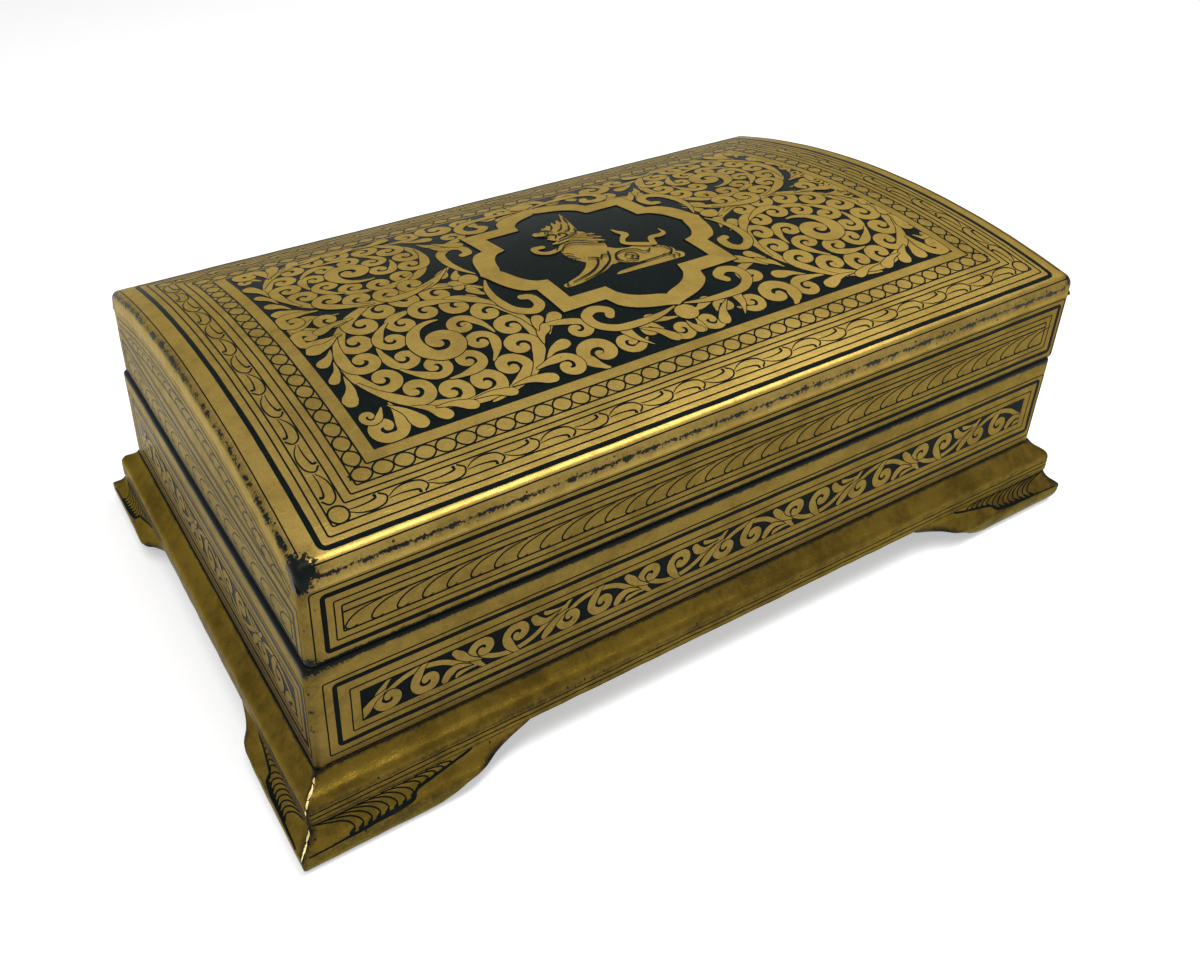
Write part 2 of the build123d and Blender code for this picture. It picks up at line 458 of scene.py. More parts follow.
# %% Make the wear group
worn, worn_in, worn_out = new_group(
    "worn through",
    [("Raggedness", FLOAT, 0.8), ("Flakes", FLOAT, 0.5)],
    [("Bare", FLOAT), ("Rubbed", FLOAT)],
)
spot = object_place(worn)
wear_value = add_node(worn, "ShaderNodeAttribute", {"attribute_name": "wear"}).outputs["Fac"]
coarse = noise(worn, spot, 260.0, 4.0, 0.65)
fine = noise(worn, spot, 1100.0, 3.0, 0.7)
ragged = weighted_sum(worn, -0.8, (coarse, 0.9), (fine, 0.7))
rubbing = calculate(worn, "MULTIPLY_ADD", ragged, worn_in.outputs["Raggedness"], wear_value)
bare = step_between(worn, rubbing, 0.46, 0.54)
pits = add_node(worn, "ShaderNodeTexVoronoi", None, Vector=spot, Scale=300.0).outputs["Distance"]
small = calculate(worn, "LESS_THAN", pits, calculate(worn, "MULTIPLY", coarse, 0.26))
flaking = calculate(worn, "ADD", noise(worn, spot, 55.0, 2.0, 0.5), wear_value)
crowd = calculate(worn, "MULTIPLY", small, step_between(worn, flaking, 0.6, 0.66))
flakes = calculate(worn, "MULTIPLY", crowd, worn_in.outputs["Flakes"])
rubbed = step_between(worn, rubbing, 0.05, 0.5)
feed(worn, worn_out, Bare=calculate(worn, "MAXIMUM", bare, flakes), Rubbed=rubbed)
print("wear group has", len(worn.nodes), "nodes")

# %% [markdown]
# ## The finishes
# The gold is a metal with a rough, mottled sheen. Where it is worn through, the same material turns to
# lacquer. The lines and the panel are the lacquer itself: deep black, cool in tint, and softly glossy.

# %% Make the finishes
BLACK = (0.0038, 0.0066, 0.0062, 1)
EDGE_TINT = (0.8, 0.7, 0.45, 1)


def new_material(name, **inputs):
    """A material with one Principled shader. Returns the material, its tree and the shader node."""
    material = bpy.data.materials.new(name)
    material.use_nodes = True
    principled = material.node_tree.nodes["Principled BSDF"]
    feed(material.node_tree, principled, **inputs)
    return material, material.node_tree, principled


def gilding(name, leaf_colour, aged_colour, ageing, polish, flakes, relief, grime_and_shade=0.35):
    """Gold leaf over black lacquer, with its own colours and condition, darkened near its worn places by
    grime and, where it is asked for, by painted shade.
    """
    material, tree, shader = new_material(
        name, Specular_IOR_Level=0.06, Specular_Tint=EDGE_TINT, Sheen_Weight=0.06
    )
    colours = {"Leaf": (*leaf_colour, 1), "Aged": (*aged_colour, 1)}
    laid = add_node(tree, "ShaderNodeGroup", {"node_tree": leaf}, **colours, Ageing=ageing, Polish=polish)
    gone = add_node(tree, "ShaderNodeGroup", {"node_tree": worn}, Flakes=flakes)
    bare = gone.outputs["Bare"]
    grime_and_shade_share = calculate(tree, "MULTIPLY", gone.outputs["Rubbed"], grime_and_shade)
    bright = blend_colours(tree, grime_and_shade_share, laid.outputs["Colour"], BLACK)
    height = weighted_sum(tree, laid.outputs["Height"], (bare, -0.8))
    feed(
        tree,
        shader,
        Base_Color=blend_colours(tree, bare, bright, BLACK),
        Metallic=calculate(tree, "SUBTRACT", 1.0, bare),
        Roughness=laid.outputs["Roughness"],
        Normal=raised_normal(tree, height, relief, 0.00012),
    )
    return material


def lacquer(name, colour, polish, dust):
    """Plain lacquer with faint brush waves and a little dust in the gloss."""
    material, tree, shader = new_material(name, Specular_IOR_Level=0.014)
    spot = object_place(tree)
    cloud = noise(tree, spot, 90.0, 4.0, 0.6)
    specks = step_between(tree, noise(tree, spot, 700.0, 4.0, 0.7), 0.45, 0.75)
    dusty = calculate(tree, "MULTIPLY", specks, cloud)
    light = tuple(channel * 1.9 + dust for channel in colour[:3]) + (1,)
    feed(
        tree,
        shader,
        Base_Color=blend_colours(tree, dusty, colour, light),
        Roughness=weighted_sum(tree, polish, (cloud, 0.22)),
        Normal=raised_normal(tree, cloud, 0.3, 0.0002),
    )
    return material


# Colour of the leaf, colour where it has aged, ageing, polish, flakes, relief, and the darkening where it is
# rubbed: grime, and on the moulding also painted shade
gilded_lacquer = gilding("gilded lacquer", (0.295, 0.203, 0.05), (0.175, 0.112, 0.022), 0.7, 0.2, 0.9, 0.55)
# The walls take the crown's gold in darker colours: painted shade, for upright faces that get less of the
# overhead light
shaded_wall_gilding = gilding("gilded wall in painted shade", (0.17, 0.114, 0.024), (0.098, 0.062, 0.01), 0.7, 0.22, 0.9, 0.55)
# The moulding's strong darkening paints shade on the feet below their lip, as well as grime at its worn
# places
gilded_moulding = gilding(
    "gilded moulding", (0.125, 0.08, 0.01), (0.056, 0.034, 0.004), 0.85, 0.18, 1.0, 0.9, 0.75
)
gilded_drawing = gilding("gilded drawing", (0.365, 0.25, 0.062), (0.23, 0.15, 0.034), 0.65, 0.22, 0.5, 0.4)
# The vine takes the drawing's gold in darker colours: painted shade, for the upright faces of the case
shaded_vine_gilding = gilding("gilded vine in painted shade", (0.205, 0.138, 0.032), (0.12, 0.077, 0.014), 0.65, 0.22, 0.5, 0.4)
# A much brighter gold, for the painted highlights on the near left mitre
painted_glint_gold = gilding("painted glint gold", (0.74, 0.58, 0.27), (0.5, 0.36, 0.12), 0.4, 0.12, 0.1, 0.9)
black_lacquer = lacquer("black lacquer", BLACK, 0.16, 0.002)
print("finishes", [material.name for material in bpy.data.materials])

# %% [markdown]
# ## The crown
# The crown board is planed to a low arch and its arrises are rounded by hand. Its skin is one closed mesh:
# the arch is sampled over its width, carried along the box, and rolled over at both ends.


# %% Make the crown
def finish_piece(board, body, slot, *nodes):
    """Tell the frame which body a skin moves with and which nodes it stands for. The slot is not used."""
    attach(board, body)
    if nodes:
        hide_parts(*nodes)


def mesh_places(mesh):
    """The places of a mesh's points, in the mesh's own units."""
    flat = np.empty(3 * len(mesh.vertices))
    mesh.vertices.foreach_get("co", flat)
    return flat.reshape(-1, 3)


def points_of(thing):
    """The points of an object's mesh, in millimetres."""
    return mesh_places(thing.data) / MM


def samples(ends, counts):
    """Samples over neighbouring spans, from the places where they meet and a count for each span."""
    spans = [np.linspace(*span)[1:] for span in zip(ends, ends[1:], counts)]
    return np.concatenate([ends[:1], *spans])


ROLL = END_ROUND * pi / 2
skirt = wall_distance(UNDERSIDE)
half_arch = ARCH_LENGTH + BEND_LENGTH
straight = HALF_LENGTH - END_ROUND
along_count = int(2 * (straight + ROLL) / 2.6)
across = samples((-skirt, -half_arch, -ARCH_LENGTH, ARCH_LENGTH, half_arch, skirt), (3, 7, 72, 7, 3))
along = samples((-straight - ROLL, -straight, straight, straight + ROLL), (6, along_count, 6))
shell = on_lid(along[:, None], across[None, :])
bottom_y = lid_section(across)[0]
bottom = np.stack(np.broadcast_arrays(along[:, None] * 0, bottom_y, under_crown(bottom_y)), -1)
bottom[..., 0] = np.clip(along, -HALF_LENGTH, HALF_LENGTH)[:, None] + PUSH
bottom[0, :, 0], bottom[-1, :, 0] = shell[0, :, 0], shell[-1, :, 0]
rows, columns = shell.shape[:2]
points = np.concatenate([shell, bottom[:, ::-1]], axis=1).reshape(-1, 3)
wide = 2 * columns
faces = ring_faces(rows, wide)
for first in (0, (rows - 1) * wide):
    last = first + wide - 1
    faces += [(first + j, first + j + 1, last - j - 1, last - j) for j in range(columns - 1)]
crown_skin = tidy(make_mesh("crown_skin", points, faces, gilded_lacquer))

# %% [markdown]
# Wear is written in millimetres: it starts at a level on an edge and falls with the distance from it. Where
# several edges meet, the strongest one wins. The material wears through at about a half.

# %% Wear the crown
LINE_DROP, LINE_FADE, FACE_FADE = 3.6, 1.6, 0.6


def fading(level, distance, reach):
    """Wear that starts at a level on an edge, and falls by one over its reach."""
    return level - distance / reach


def worn_corner(away, size, level=0.95):
    """Wear round a corner, which falls by a half over the size of the bare patch."""
    return level - 0.5 * away / size


def arris_line(z, off_face=0.0):
    """The thin rubbed line just below the long arris, by height and by distance behind the face."""
    return 0.72 - 0.42 * (np.abs(z - (ARRIS - LINE_DROP)) / LINE_FADE + off_face / FACE_FADE)


def crown_wear(points):
    """Wear on the crown: the left arris most, the front arris as a thin line, the near left corner worst."""
    x, y, z = points.T
    left, front = HALF_LENGTH + x - PUSH, y + HALF_DEPTH
    right, rear = HALF_LENGTH - x + PUSH, HALF_DEPTH - y
    at_end = np.minimum(left, right) < 2.6
    drop = np.where(at_end, ARCH_CENTRE + np.sqrt(ARCH_RADIUS**2 - y**2) - z, 0)
    values = [
        fading(0.76, np.hypot(np.minimum(left, 3 * left), drop), 4.5),
        fading(0.62, np.hypot(right, drop * (right < 3)), 3.2),
        arris_line(z, np.maximum(np.minimum(front, rear) - FACE_FADE, 0)),
    ]
    corners = ((left, front, 6.5), (left, rear, 5.0), (right, front, 3.5), (right, rear, 3.5))
    for corner_x, corner_y, size in corners:
        away = np.sqrt(corner_x**2 + corner_y**2 + ((ARRIS - z) * 0.8) ** 2)
        values.append(worn_corner(away, size))
    return np.maximum.reduce(values)


write_wear(crown_skin, crown_wear(points_of(crown_skin)))
finish_piece(crown_skin, "lid", "gilded_lacquer", "crown_board")
print("crown", len(crown_skin.data.vertices), "points")

# %% [markdown]
# ## The walls of the lid and the case
# Four boards meet in mitres at the corners, and leaf covers the joints. Each wall is a loft of its own
# section, so it can be taken away on its own. The edges at the seam are rounded and rubbed black, and the
# lid's lower edge rises a little to the right, which makes the seam uneven as on the real box.

# %% Draw the sections of the walls
LID_EDGE, RIM_EDGE = 0.9, 1.15


def edge_turn(out, height, start, finish, radius, steps=4):
    """Points round an eased edge, with their normals, between two angles measured from outwards to up."""
    turned = []
    for angle in np.linspace(start, finish, steps):
        turned.append((out + radius * cos(angle), height + radius * sin(angle), cos(angle), sin(angle), 1))
    return turned


def upright_face(low, high, count):
    """Section points up the outer face of a wall."""
    return [(0, z, 1, 0, 1) for z in np.linspace(low, high, count)]


def inner_corners(thickness, first, last):
    """Section points of a wall's inner face, which has no skin of its own."""
    return [(-thickness, first, 0, 0, 0), (-thickness, last, 0, 0, 0)]


lid_wall_section = edge_turn(-LID_EDGE, RIM + LID_EDGE, -pi / 2, 0, LID_EDGE)
lid_wall_section += upright_face(RIM + 2.2, UNDERSIDE, 10) + inner_corners(LID_WALL, UNDERSIDE, RIM)
case_wall_section = upright_face(BAND_BOTTOM, RIM - RIM_EDGE, 14)
case_wall_section += edge_turn(-RIM_EDGE, RIM - RIM_EDGE, 0, pi / 2, RIM_EDGE)[1:]
case_wall_section += inner_corners(CASE_WALL, RIM, BAND_BOTTOM)


def seam_gap(run, side):
    """How far the lid's lower edge stands off the rim along a side."""
    x = place(side, run, 0.0, RIM)[..., 0]
    return 0.25 + 0.5 * (x / (2 * HALF_LENGTH) + 0.5) + 0.12 * np.sin(x / 17.0)


def lid_rise(side):
    """How a lid wall's section is raised: its top under the arch, and its lower edge by the seam's gap."""

    def rise(run, height):
        share = np.clip((height - RIM) / (UNDERSIDE - RIM), 0, 1)
        arched = side in ("left", "right")
        top = under_crown(np.clip(run, -HALF_DEPTH, HALF_DEPTH)) - UNDERSIDE if arched else 0.0
        return share * top + np.clip(1 - (height - RIM) / 2.3, 0, 1) * seam_gap(run, side)

    return rise


print("wall sections with", len(lid_wall_section), "and", len(case_wall_section), "points")

# %% [markdown]
# The same few lines make all eight walls. Only the section, the round of the corners and the rise of the
# edges differ between the lid and the case.


# %% Make the walls
def wall_wear(points, push):
    """Wear on the upright walls: the seam's two edges, and a little at the corners."""
    x, y, z = points.T
    end = HALF_LENGTH - np.abs(x - push)
    side = HALF_DEPTH - np.abs(y)
    corner = np.maximum(end, 0) + np.maximum(side, 0)
    near_left = (x < 0) & (y < 0)
    ridge = ARCH_CENTRE + np.sqrt(np.maximum(ARCH_RADIUS**2 - y**2, 0))
    left_end = fading(0.74, ridge - END_ROUND - z, 4.5)
    values = [
        fading(1.0, np.abs(np.abs(z - RIM) - 0.4), 2.1),
        fading(np.where(near_left, 0.56, 0.40), corner, 6.0),
        worn_corner(np.hypot(corner, z - ARRIS), np.where(near_left, 6.5, 3.6)),
        worn_corner(np.hypot(corner, z - RIM), np.where(near_left, 4.5, 2.6), 0.9),
        np.where((end < 1) & (x < 0), left_end, -1),
        np.where((side < 1) & (z > RIM), arris_line(z), -1),
    ]
    return np.maximum.reduce(values)


def wall_skin(side, body, section, corner, push=0.0, rise=None):
    """The skin of one wall: gilded outside in the darker gold of painted shade, and black on the faces that
    look inwards.
    """
    loops = board_loops(side, section, corner, push=push, rise=rise)
    skin = tidy(loft(f"{body}_{side}_skin", loops, shaded_wall_gilding, [not point[4] for point in section]))
    write_wear(skin, wall_wear(points_of(skin), push))
    finish_piece(skin, body, "gilded_lacquer", f"{body}_{side}_wall")


for side in SIDES:
    wall_skin(side, "lid", lid_wall_section, END_ROUND, PUSH, lid_rise(side))
    wall_skin(side, "case", case_wall_section, CASE_ROUND)
print("walls made on", len(SIDES), "sides")

# %% [markdown]
# ## The plinth
# A sloped moulding goes round the foot of the case. It was modelled in thick lacquer putty before gilding,
# so it is lumpy, and its nose catches the light. The section is drawn with two arcs that flow into each
# other, and lumps of some tenths of a millimetre are added to the skin.


# %% Make the plinth
def flowing_arc(start, tangent, finish, steps):
    """An arc that leaves a start point along a tangent. Returns its further points and its last direction."""
    start, finish = np.array(start, dtype=float), np.array(finish, dtype=float)
    tangent = np.array(tangent, dtype=float) / np.hypot(*tangent)
    chord = finish - start
    normal = np.array([-tangent[1], tangent[0]])
    radius = chord @ chord / (2 * (chord @ normal))
    centre = start + radius * normal
    swing = 2 * atan2(chord @ normal, chord @ tangent)
    arc = []
    for part in np.linspace(0, 1, steps + 1)[1:]:
        turn = part * swing
        spoke = start - centre
        arc.append(centre + np.array([spoke[0] * cos(turn) - spoke[1] * sin(turn),
                                      spoke[0] * sin(turn) + spoke[1] * cos(turn)]))
    end = np.array([tangent[0] * cos(swing) - tangent[1] * sin(swing),
                    tangent[0] * sin(swing) + tangent[1] * cos(swing)])
    return arc, end


def with_normals(points, inner):
    """Section points with their outward normals, and then plain inner points."""
    points = np.array(points)
    along = np.gradient(points, axis=0)
    along /= np.linalg.norm(along, axis=1)[:, None]
    rows = [(out, z, dz, -dout, 1) for (out, z), (dout, dz) in zip(points, along)]
    return rows + [(out, z, 0, 0, 0) for out, z in inner]


PLINTH_OUT, BAND_TOP, QUIRK, PLINTH_ROUND = 6.2, 19.6, 0.35, 1.1
NOSE_END = (4.3, 22.6)
BROAD_LUMPS, SMALL_LUMPS = (0.26, 21.0), (0.16, 9.0)
nose, nose_tangent = flowing_arc((PLINTH_OUT, BAND_TOP), (0, 1), NOSE_END, 4)
cove, _ = flowing_arc(NOSE_END, nose_tangent, (QUIRK, PLINTH_TOP), 5)
upright_band = [(PLINTH_OUT, z) for z in np.linspace(BAND_BOTTOM, BAND_TOP, 5)]
plinth_section = with_normals(upright_band + nose + cove, [(0, PLINTH_TOP), (0, BAND_BOTTOM)])


def lumps(points):
    """The hand-modelled surface of the plinth and the feet: broad lumps with small ones over them."""
    return unevenness(points, *BROAD_LUMPS) + unevenness(np.asarray(points)[..., ::-1], *SMALL_LUMPS)


def plinth_wear(points):
    """Wear on the plinth: its mitred corners and the edge of its band."""
    x, y, z = points.T
    off_mitre = np.abs((HALF_LENGTH - np.abs(x)) - (HALF_DEPTH - np.abs(y)))
    values = [
        fading(0.5, off_mitre, 5.0),
        fading(0.55, np.abs(z - BAND_BOTTOM), 1.6),
        fading(np.where(x < 0, 0.34, 0.26), np.abs(z - BAND_TOP), 5.0),
        fading(0.42, PLINTH_TOP - z, 2.0),
    ]
    return np.maximum.reduce(values)


_, _, normal_out, normal_up, skin = np.array(plinth_section, dtype=float).T
for side in SIDES:
    loops = np.array(board_loops(side, plinth_section, PLINTH_ROUND, spacing=1.7, depth=0.0))
    normals = np.multiply.outer(normal_out, SIDES[side][0]) + np.multiply.outer(normal_up, (0, 0, 1))
    loops += (lumps(loops) * skin)[..., None] * normals
    plinth_skin = tidy(loft(f"plinth_{side}_skin", loops, gilded_moulding))
    write_wear(plinth_skin, plinth_wear(points_of(plinth_skin)))
    finish_piece(plinth_skin, "case", "gilded_lacquer", f"plinth_{side}")
print("plinth made, nose tangent", np.round(nose_tangent, 2))

# %% [markdown]
# ## The bracket feet
# Two brackets make a foot. The face of a bracket flares out in a cove to a lip near the ground, and its
# lower edge sweeps up in an ogee to a small tip under the plinth. The loft goes from the mitre to the tip,
# and the ogee trims each loop from below.

# %% Make the feet
FOOT_BACK, FOOT_LIP, LIP_HEIGHT, FOOT_GROUND = 6.0, 10.7, 7.2, 8.6
FOOT_LENGTHS = {"front": 69.0, "back": 69.0, "left": 51.0, "right": 51.0}
HANDS = ((-1, "a"), (1, "b"))
FLAT_SHARE = 0.44
OGEE = ((0.44, 0.0), (0.53, 0.13), (0.62, 0.38), (0.75, 0.62), (0.88, 0.77), (0.96, 0.86), (1.0, 1.0))
FACE_STEPS = 16
EASE_HEIGHT, EASE_DEPTH = 1.2, 0.9
FOOT_LUMPS = 0.9
foot_top = (PLINTH_OUT - 0.7, BAND_BOTTOM)
below_lip = (FOOT_LIP - 0.2, LIP_HEIGHT - 1.0)
hollow, _ = flowing_arc(foot_top, (0.12, -1), (FOOT_LIP - 0.5, LIP_HEIGHT + 1.1), 8)
toe, _ = flowing_arc(below_lip, (0.05, -1), (FOOT_GROUND, 0), 6)
foot_face = np.array([foot_top, *hollow, (FOOT_LIP, LIP_HEIGHT), below_lip, *toe])


def face_out(height):
    """How far the face of a foot stands out at a height."""
    return np.interp(height, foot_face[::-1, 1], foot_face[::-1, 0])


def ogee_height(distance, foot_length):
    """Height of a bracket's lower edge at a distance from its corner, eased through the ogee's points."""
    share, rise = np.array(OGEE).T
    near = np.clip(distance / foot_length, FLAT_SHARE, 1)
    spread = np.linspace(-0.03, 0.03, 7)
    eased = np.mean([np.interp(near + shift, share, rise) for shift in spread], axis=0)
    blend = np.clip((1 - near) / 0.05, 0, 1)
    return BAND_BOTTOM * (eased * blend + np.interp(near, share, rise) * (1 - blend))


def foot_wear(points):
    """Wear on a foot: the ground edge, the lip at the mitre, the ogee's edge, and below the lip a value that
    darkens it as painted shade.
    """
    x, y, z = points.T
    end, side = HALF_LENGTH - np.abs(x), HALF_DEPTH - np.abs(y)
    distance = np.maximum(end, side)
    long_trim, short_trim = (ogee_height(distance, FOOT_LENGTHS[name]) for name in ("front", "left"))
    trim = np.where(np.abs(y) > HALF_DEPTH, long_trim, short_trim)
    values = [
        fading(0.72, z - trim, 3.4),
        fading(0.62, np.abs(end - side), 6.5),
        fading(0.6, BAND_BOTTOM - z, 1.6),
        # Below the lip: a value that mostly darkens the gold through the grime, as painted shade where the
        # foot turns to the floor
        np.where(z < LIP_HEIGHT, 0.34, 0.0),
        fading(0.36, np.abs(z - LIP_HEIGHT), 5.0),
    ]
    return np.maximum.reduce(values)


def foot_loops(side, hand, foot_length):
    """Loops of one bracket from its mitre to its tip."""
    _, _, half_run, _ = SIDES[side]
    rows = []
    for share in (*samples((0, 0.1, 0.97), (6, 40)), 0.985, 0.995):
        low = float(ogee_height(share * foot_length - FOOT_GROUND * (1 - share), foot_length))
        heights = BAND_BOTTOM - (BAND_BOTTOM - low) * np.linspace(0, 1, FACE_STEPS)
        eased = np.clip(1 - (heights - low) / EASE_HEIGHT, 0, 1) ** 2 * EASE_DEPTH
        out = np.concatenate([face_out(heights) - eased, [-FOOT_BACK, -FOOT_BACK]])
        heights = np.concatenate([heights, [low, BAND_BOTTOM]])
        run = hand * ((half_run + out) * (1 - share) + (half_run - foot_length) * share)
        base = place(side, run, out, heights)
        skin = np.array([1.0] * FACE_STEPS + [0.0, 0.0]) * (heights > 0.2)
        rows.append(base + (lumps(base) * skin * FOOT_LUMPS)[:, None] * SIDES[side][0])
    return rows


for side, foot_length in FOOT_LENGTHS.items():
    for hand, letter in HANDS:
        loops = foot_loops(side, hand, foot_length)
        foot = tidy(loft(f"foot_{side}_{letter}_skin", loops, gilded_moulding))
        write_wear(foot, foot_wear(points_of(foot)))
        finish_piece(foot, "case", "gilded_lacquer", f"foot_{side}_{letter}")
print("feet made", len(HANDS) * len(FOOT_LENGTHS))

# %% [markdown]
# ## The wood inside
# The liner, the floor board and the glue blocks are plain boards, so they keep their own shapes and only get
# a finish. The liner and the floor are lacquered black inside. The blocks under the box are bare wood, and
# the pegs in the corners are bamboo.


# %% Finish the plain boards
def bare_timber(name, light, dark):
    """Unfinished wood: stretched noise for the grain, with fine pores across it."""
    material, tree, shader = new_material(name, Roughness=0.7, Specular_IOR_Level=0.3)
    spot = object_place(tree)
    long_grain = add_node(tree, "ShaderNodeMapping", None, Vector=spot, Scale=(0.12, 1, 1)).outputs[0]
    rings = noise(tree, long_grain, 160.0, 4.0, 0.6)
    pores = noise(tree, long_grain, 1400.0, 2.0, 0.6)
    tone = blend_colours(tree, step_between(tree, rings, 0.35, 0.65), (*light, 1), (*dark, 1))
    speckle = calculate(tree, "MULTIPLY", step_between(tree, pores, 0.55, 0.7), 0.4)
    tone = blend_colours(tree, speckle, tone, (*dark, 1))
    feed(tree, shader, Base_Color=tone, Normal=raised_normal(tree, pores, 0.4, 0.0002))
    return material


bare_wood = bare_timber("bare wood", (0.36, 0.24, 0.13), (0.22, 0.13, 0.06))
bamboo = bare_timber("bamboo", (0.55, 0.42, 0.22), (0.42, 0.30, 0.14))
inside_lacquer = lacquer("inside lacquer", (0.012, 0.011, 0.010, 1), 0.28, 0.004)
PLAIN_FINISHES = {
    "glue_block": bare_wood,
    "pegs": bamboo,
    "liner": inside_lacquer,
    "floor_board": inside_lacquer,
}
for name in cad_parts:
    for kind, finish in PLAIN_FINISHES.items():
        if kind in name:
            for slot in bpy.data.objects[name].material_slots:
                slot.material = finish
print("plain boards finished")

# %% [markdown]
# ## The brush
# Every line and scroll on the box is one stroke of a brush: a path with a width that changes on the way. A
# stroke here is rows of place and half width, on a flat layout in millimetres. A curve through a few given
# points gives the path, and a curl adds a volute at its end.

# %% Define the brush strokes
CAP_TURNS = np.radians([82, 62, 40, 20])
CURL_TURNS = (0, 0.8, 1.6, 2.4, 3.2, 4.4, 5.6)
CURL_REACH = (0.12, 0.22, 0.38, 0.53, 0.64, 0.73, 0.84)
CURL_WIDTH = (0.24, 0.32, 0.31, 0.31, 0.31, 0.31, 0.30)
CURL_LEAD = 0.55
TAIL_PACE, TAIL_TIP = 0.6, 0.15


def smooth_path(points, spacing=0.7):
    """A smooth curve through points, sampled evenly. Extra columns, such as a width, are carried along."""
    points = np.array(points, dtype=float)
    padded = np.vstack([2 * points[0] - points[1], points, 2 * points[-1] - points[-2]])
    pieces = []
    for before, start, finish, after in zip(padded, padded[1:], padded[2:], padded[3:]):
        t = np.linspace(0, 1, max(3, int(np.hypot(*(finish - start)[:2]) / spacing) + 2))[:-1, None]
        slope, bend = finish - before, 2 * before - 5 * start + 4 * finish - after
        twist = 3 * start - before - 3 * finish + after
        pieces.append(0.5 * (2 * start + slope * t + bend * t**2 + twist * t**3))
    return np.vstack([*pieces, points[-1:]])


def brush(*points):
    """A stroke through (across, up, half width) points, with round ends."""
    path = smooth_path(points, 0.5)
    path[:, 2] = np.maximum(path[:, 2], 0.1)
    return round_ends(path)


def round_ends(path):
    """Round both ends of a stroke that are wide, by shrinking extra points beyond them."""
    for _ in range(2):
        path = path[::-1]
        width = path[0, 2]
        if width > 0.35:
            away = path[0, :2] - path[1, :2]
            away /= max(np.hypot(*away), 1e-6)
            beyond = path[0, :2] + np.outer(np.sin(CAP_TURNS), away) * width
            path = np.vstack([np.column_stack([beyond, width * np.cos(CAP_TURNS)]), path])
    return path


def curl(centre, size, facing, hand, tail, bend=0.03):
    """A volute with a tail. It faces the way its outer side looks, and hand 1 grows anticlockwise."""
    turned = np.linspace(0, CURL_TURNS[-1], 30)
    reach = size * np.interp(turned, CURL_TURNS, CURL_REACH)
    width = size * np.interp(turned, CURL_TURNS, CURL_WIDTH)
    start = radians(facing) + hand * CURL_LEAD
    angle = start + hand * (turned[-1] - turned)
    head = np.column_stack([reach * np.cos(angle), reach * np.sin(angle), width])
    count = max(4, int(tail / TAIL_PACE))
    travelled = (np.arange(count) + 1) * TAIL_PACE
    ease = np.clip(travelled / size, 0, 1)
    turning = (1 - ease) ** 1.3 / reach[-1] + bend * ease
    heading = start - hand * pi / 2 - hand * np.cumsum(turning) * TAIL_PACE
    steps = np.column_stack([np.cos(heading), np.sin(heading)]) * TAIL_PACE
    share = travelled / travelled[-1]
    swell = width[-1] * (1 + 0.35 * np.sin(pi * np.clip(1.5 * share, 0, 1)))
    narrow = TAIL_TIP + (swell - TAIL_TIP) * (1 - share) ** 0.6
    path = np.column_stack([np.cumsum(steps, axis=0) + head[-1, :2], narrow])
    whole = round_ends(np.vstack([head, path]))
    whole[:, :2] += np.array(centre)
    return whole


def mirrored(strokes, across=None, up=None):
    """Strokes mirrored about an upright line, a level line, or both."""
    result = []
    for path in strokes:
        path = path.copy()
        if across is not None:
            path[:, 0] = 2 * across - path[:, 0]
        if up is not None:
            path[:, 1] = 2 * up - path[:, 1]
        result.append(path)
    return result


def leaf_spray(tip, base, width):
    """A small leaf: a drop that is widest near its tip, and runs out thin to its base."""
    tip, base = np.array(tip, dtype=float), np.array(base, dtype=float)
    side = np.array([base[1] - tip[1], tip[0] - base[0]]) * 0.08
    middle = 0.5 * (tip + base) + side
    near_tip = 0.75 * tip + 0.25 * middle
    return brush((*tip, width), (*near_tip, width), (*middle, 0.55 * width), (*base, 0.12))


# %% [markdown]
# ## The scrolls of the panel
# The panel is filled with four great scrolls. In each, two rings of curls turn round a central volute, and
# every tail runs back along the ring, outside its neighbour. One function lays out a scroll, and the other
# three are its mirror images.

# %% Lay out one scroll
RING_TURN = (63, 85, 110, 164, 215, 272, 326, 402, 428, 464, 507, 607, 700, 770)
RING_REACH = (31.0, 30.0, 28.0, 26.0, 25.8, 23.6, 25.4, 23.6, 20.4, 16.8, 15.2, 12.4, 12.8, 12.0)
CURL_PITCH = 11.2
# Each has the inner ring's value, and what the outer ring adds to it between the two turns
CURL_SIZE, CURL_TAIL, CURL_ARC = (5.2, 0.8), (13.5, 7.5), (22, 14)
OUTER_TURNS = (390, 470)
SCROLL_HEART = ((0, 0), 8.3, 200, 1, 27.0, 1 / 10.5)


def scroll():
    """One great scroll about its own middle: curls that close in, growing anticlockwise."""
    angle, strokes = float(RING_TURN[0]), []
    while angle < RING_TURN[-1]:
        radius = np.interp(angle, RING_TURN, RING_REACH)
        outer = np.interp(angle, OUTER_TURNS, (1, 0))
        at = radius * np.array([cos(radians(angle)), sin(radians(angle))])
        size, tail, arc = (value + more * outer for value, more in (CURL_SIZE, CURL_TAIL, CURL_ARC))
        strokes.append(curl(at, size, angle, 1, tail, 1 / arc))
        angle += np.degrees(CURL_PITCH / radius)
    strokes.append(curl(*SCROLL_HEART))
    return strokes


def moved(strokes, centre, width, height):
    """Strokes stretched by a share each way, and moved to a centre. A negative share turns them over."""
    share = np.array([width, height, (abs(width) + abs(height)) / 2])
    return [path * share + np.array([*centre, 0]) for path in strokes]


# %% [markdown]
# Between the scrolls and the frame the painter fitted smaller curls and leaves. They are drawn for the near
# left quarter, and mirrored into the others.

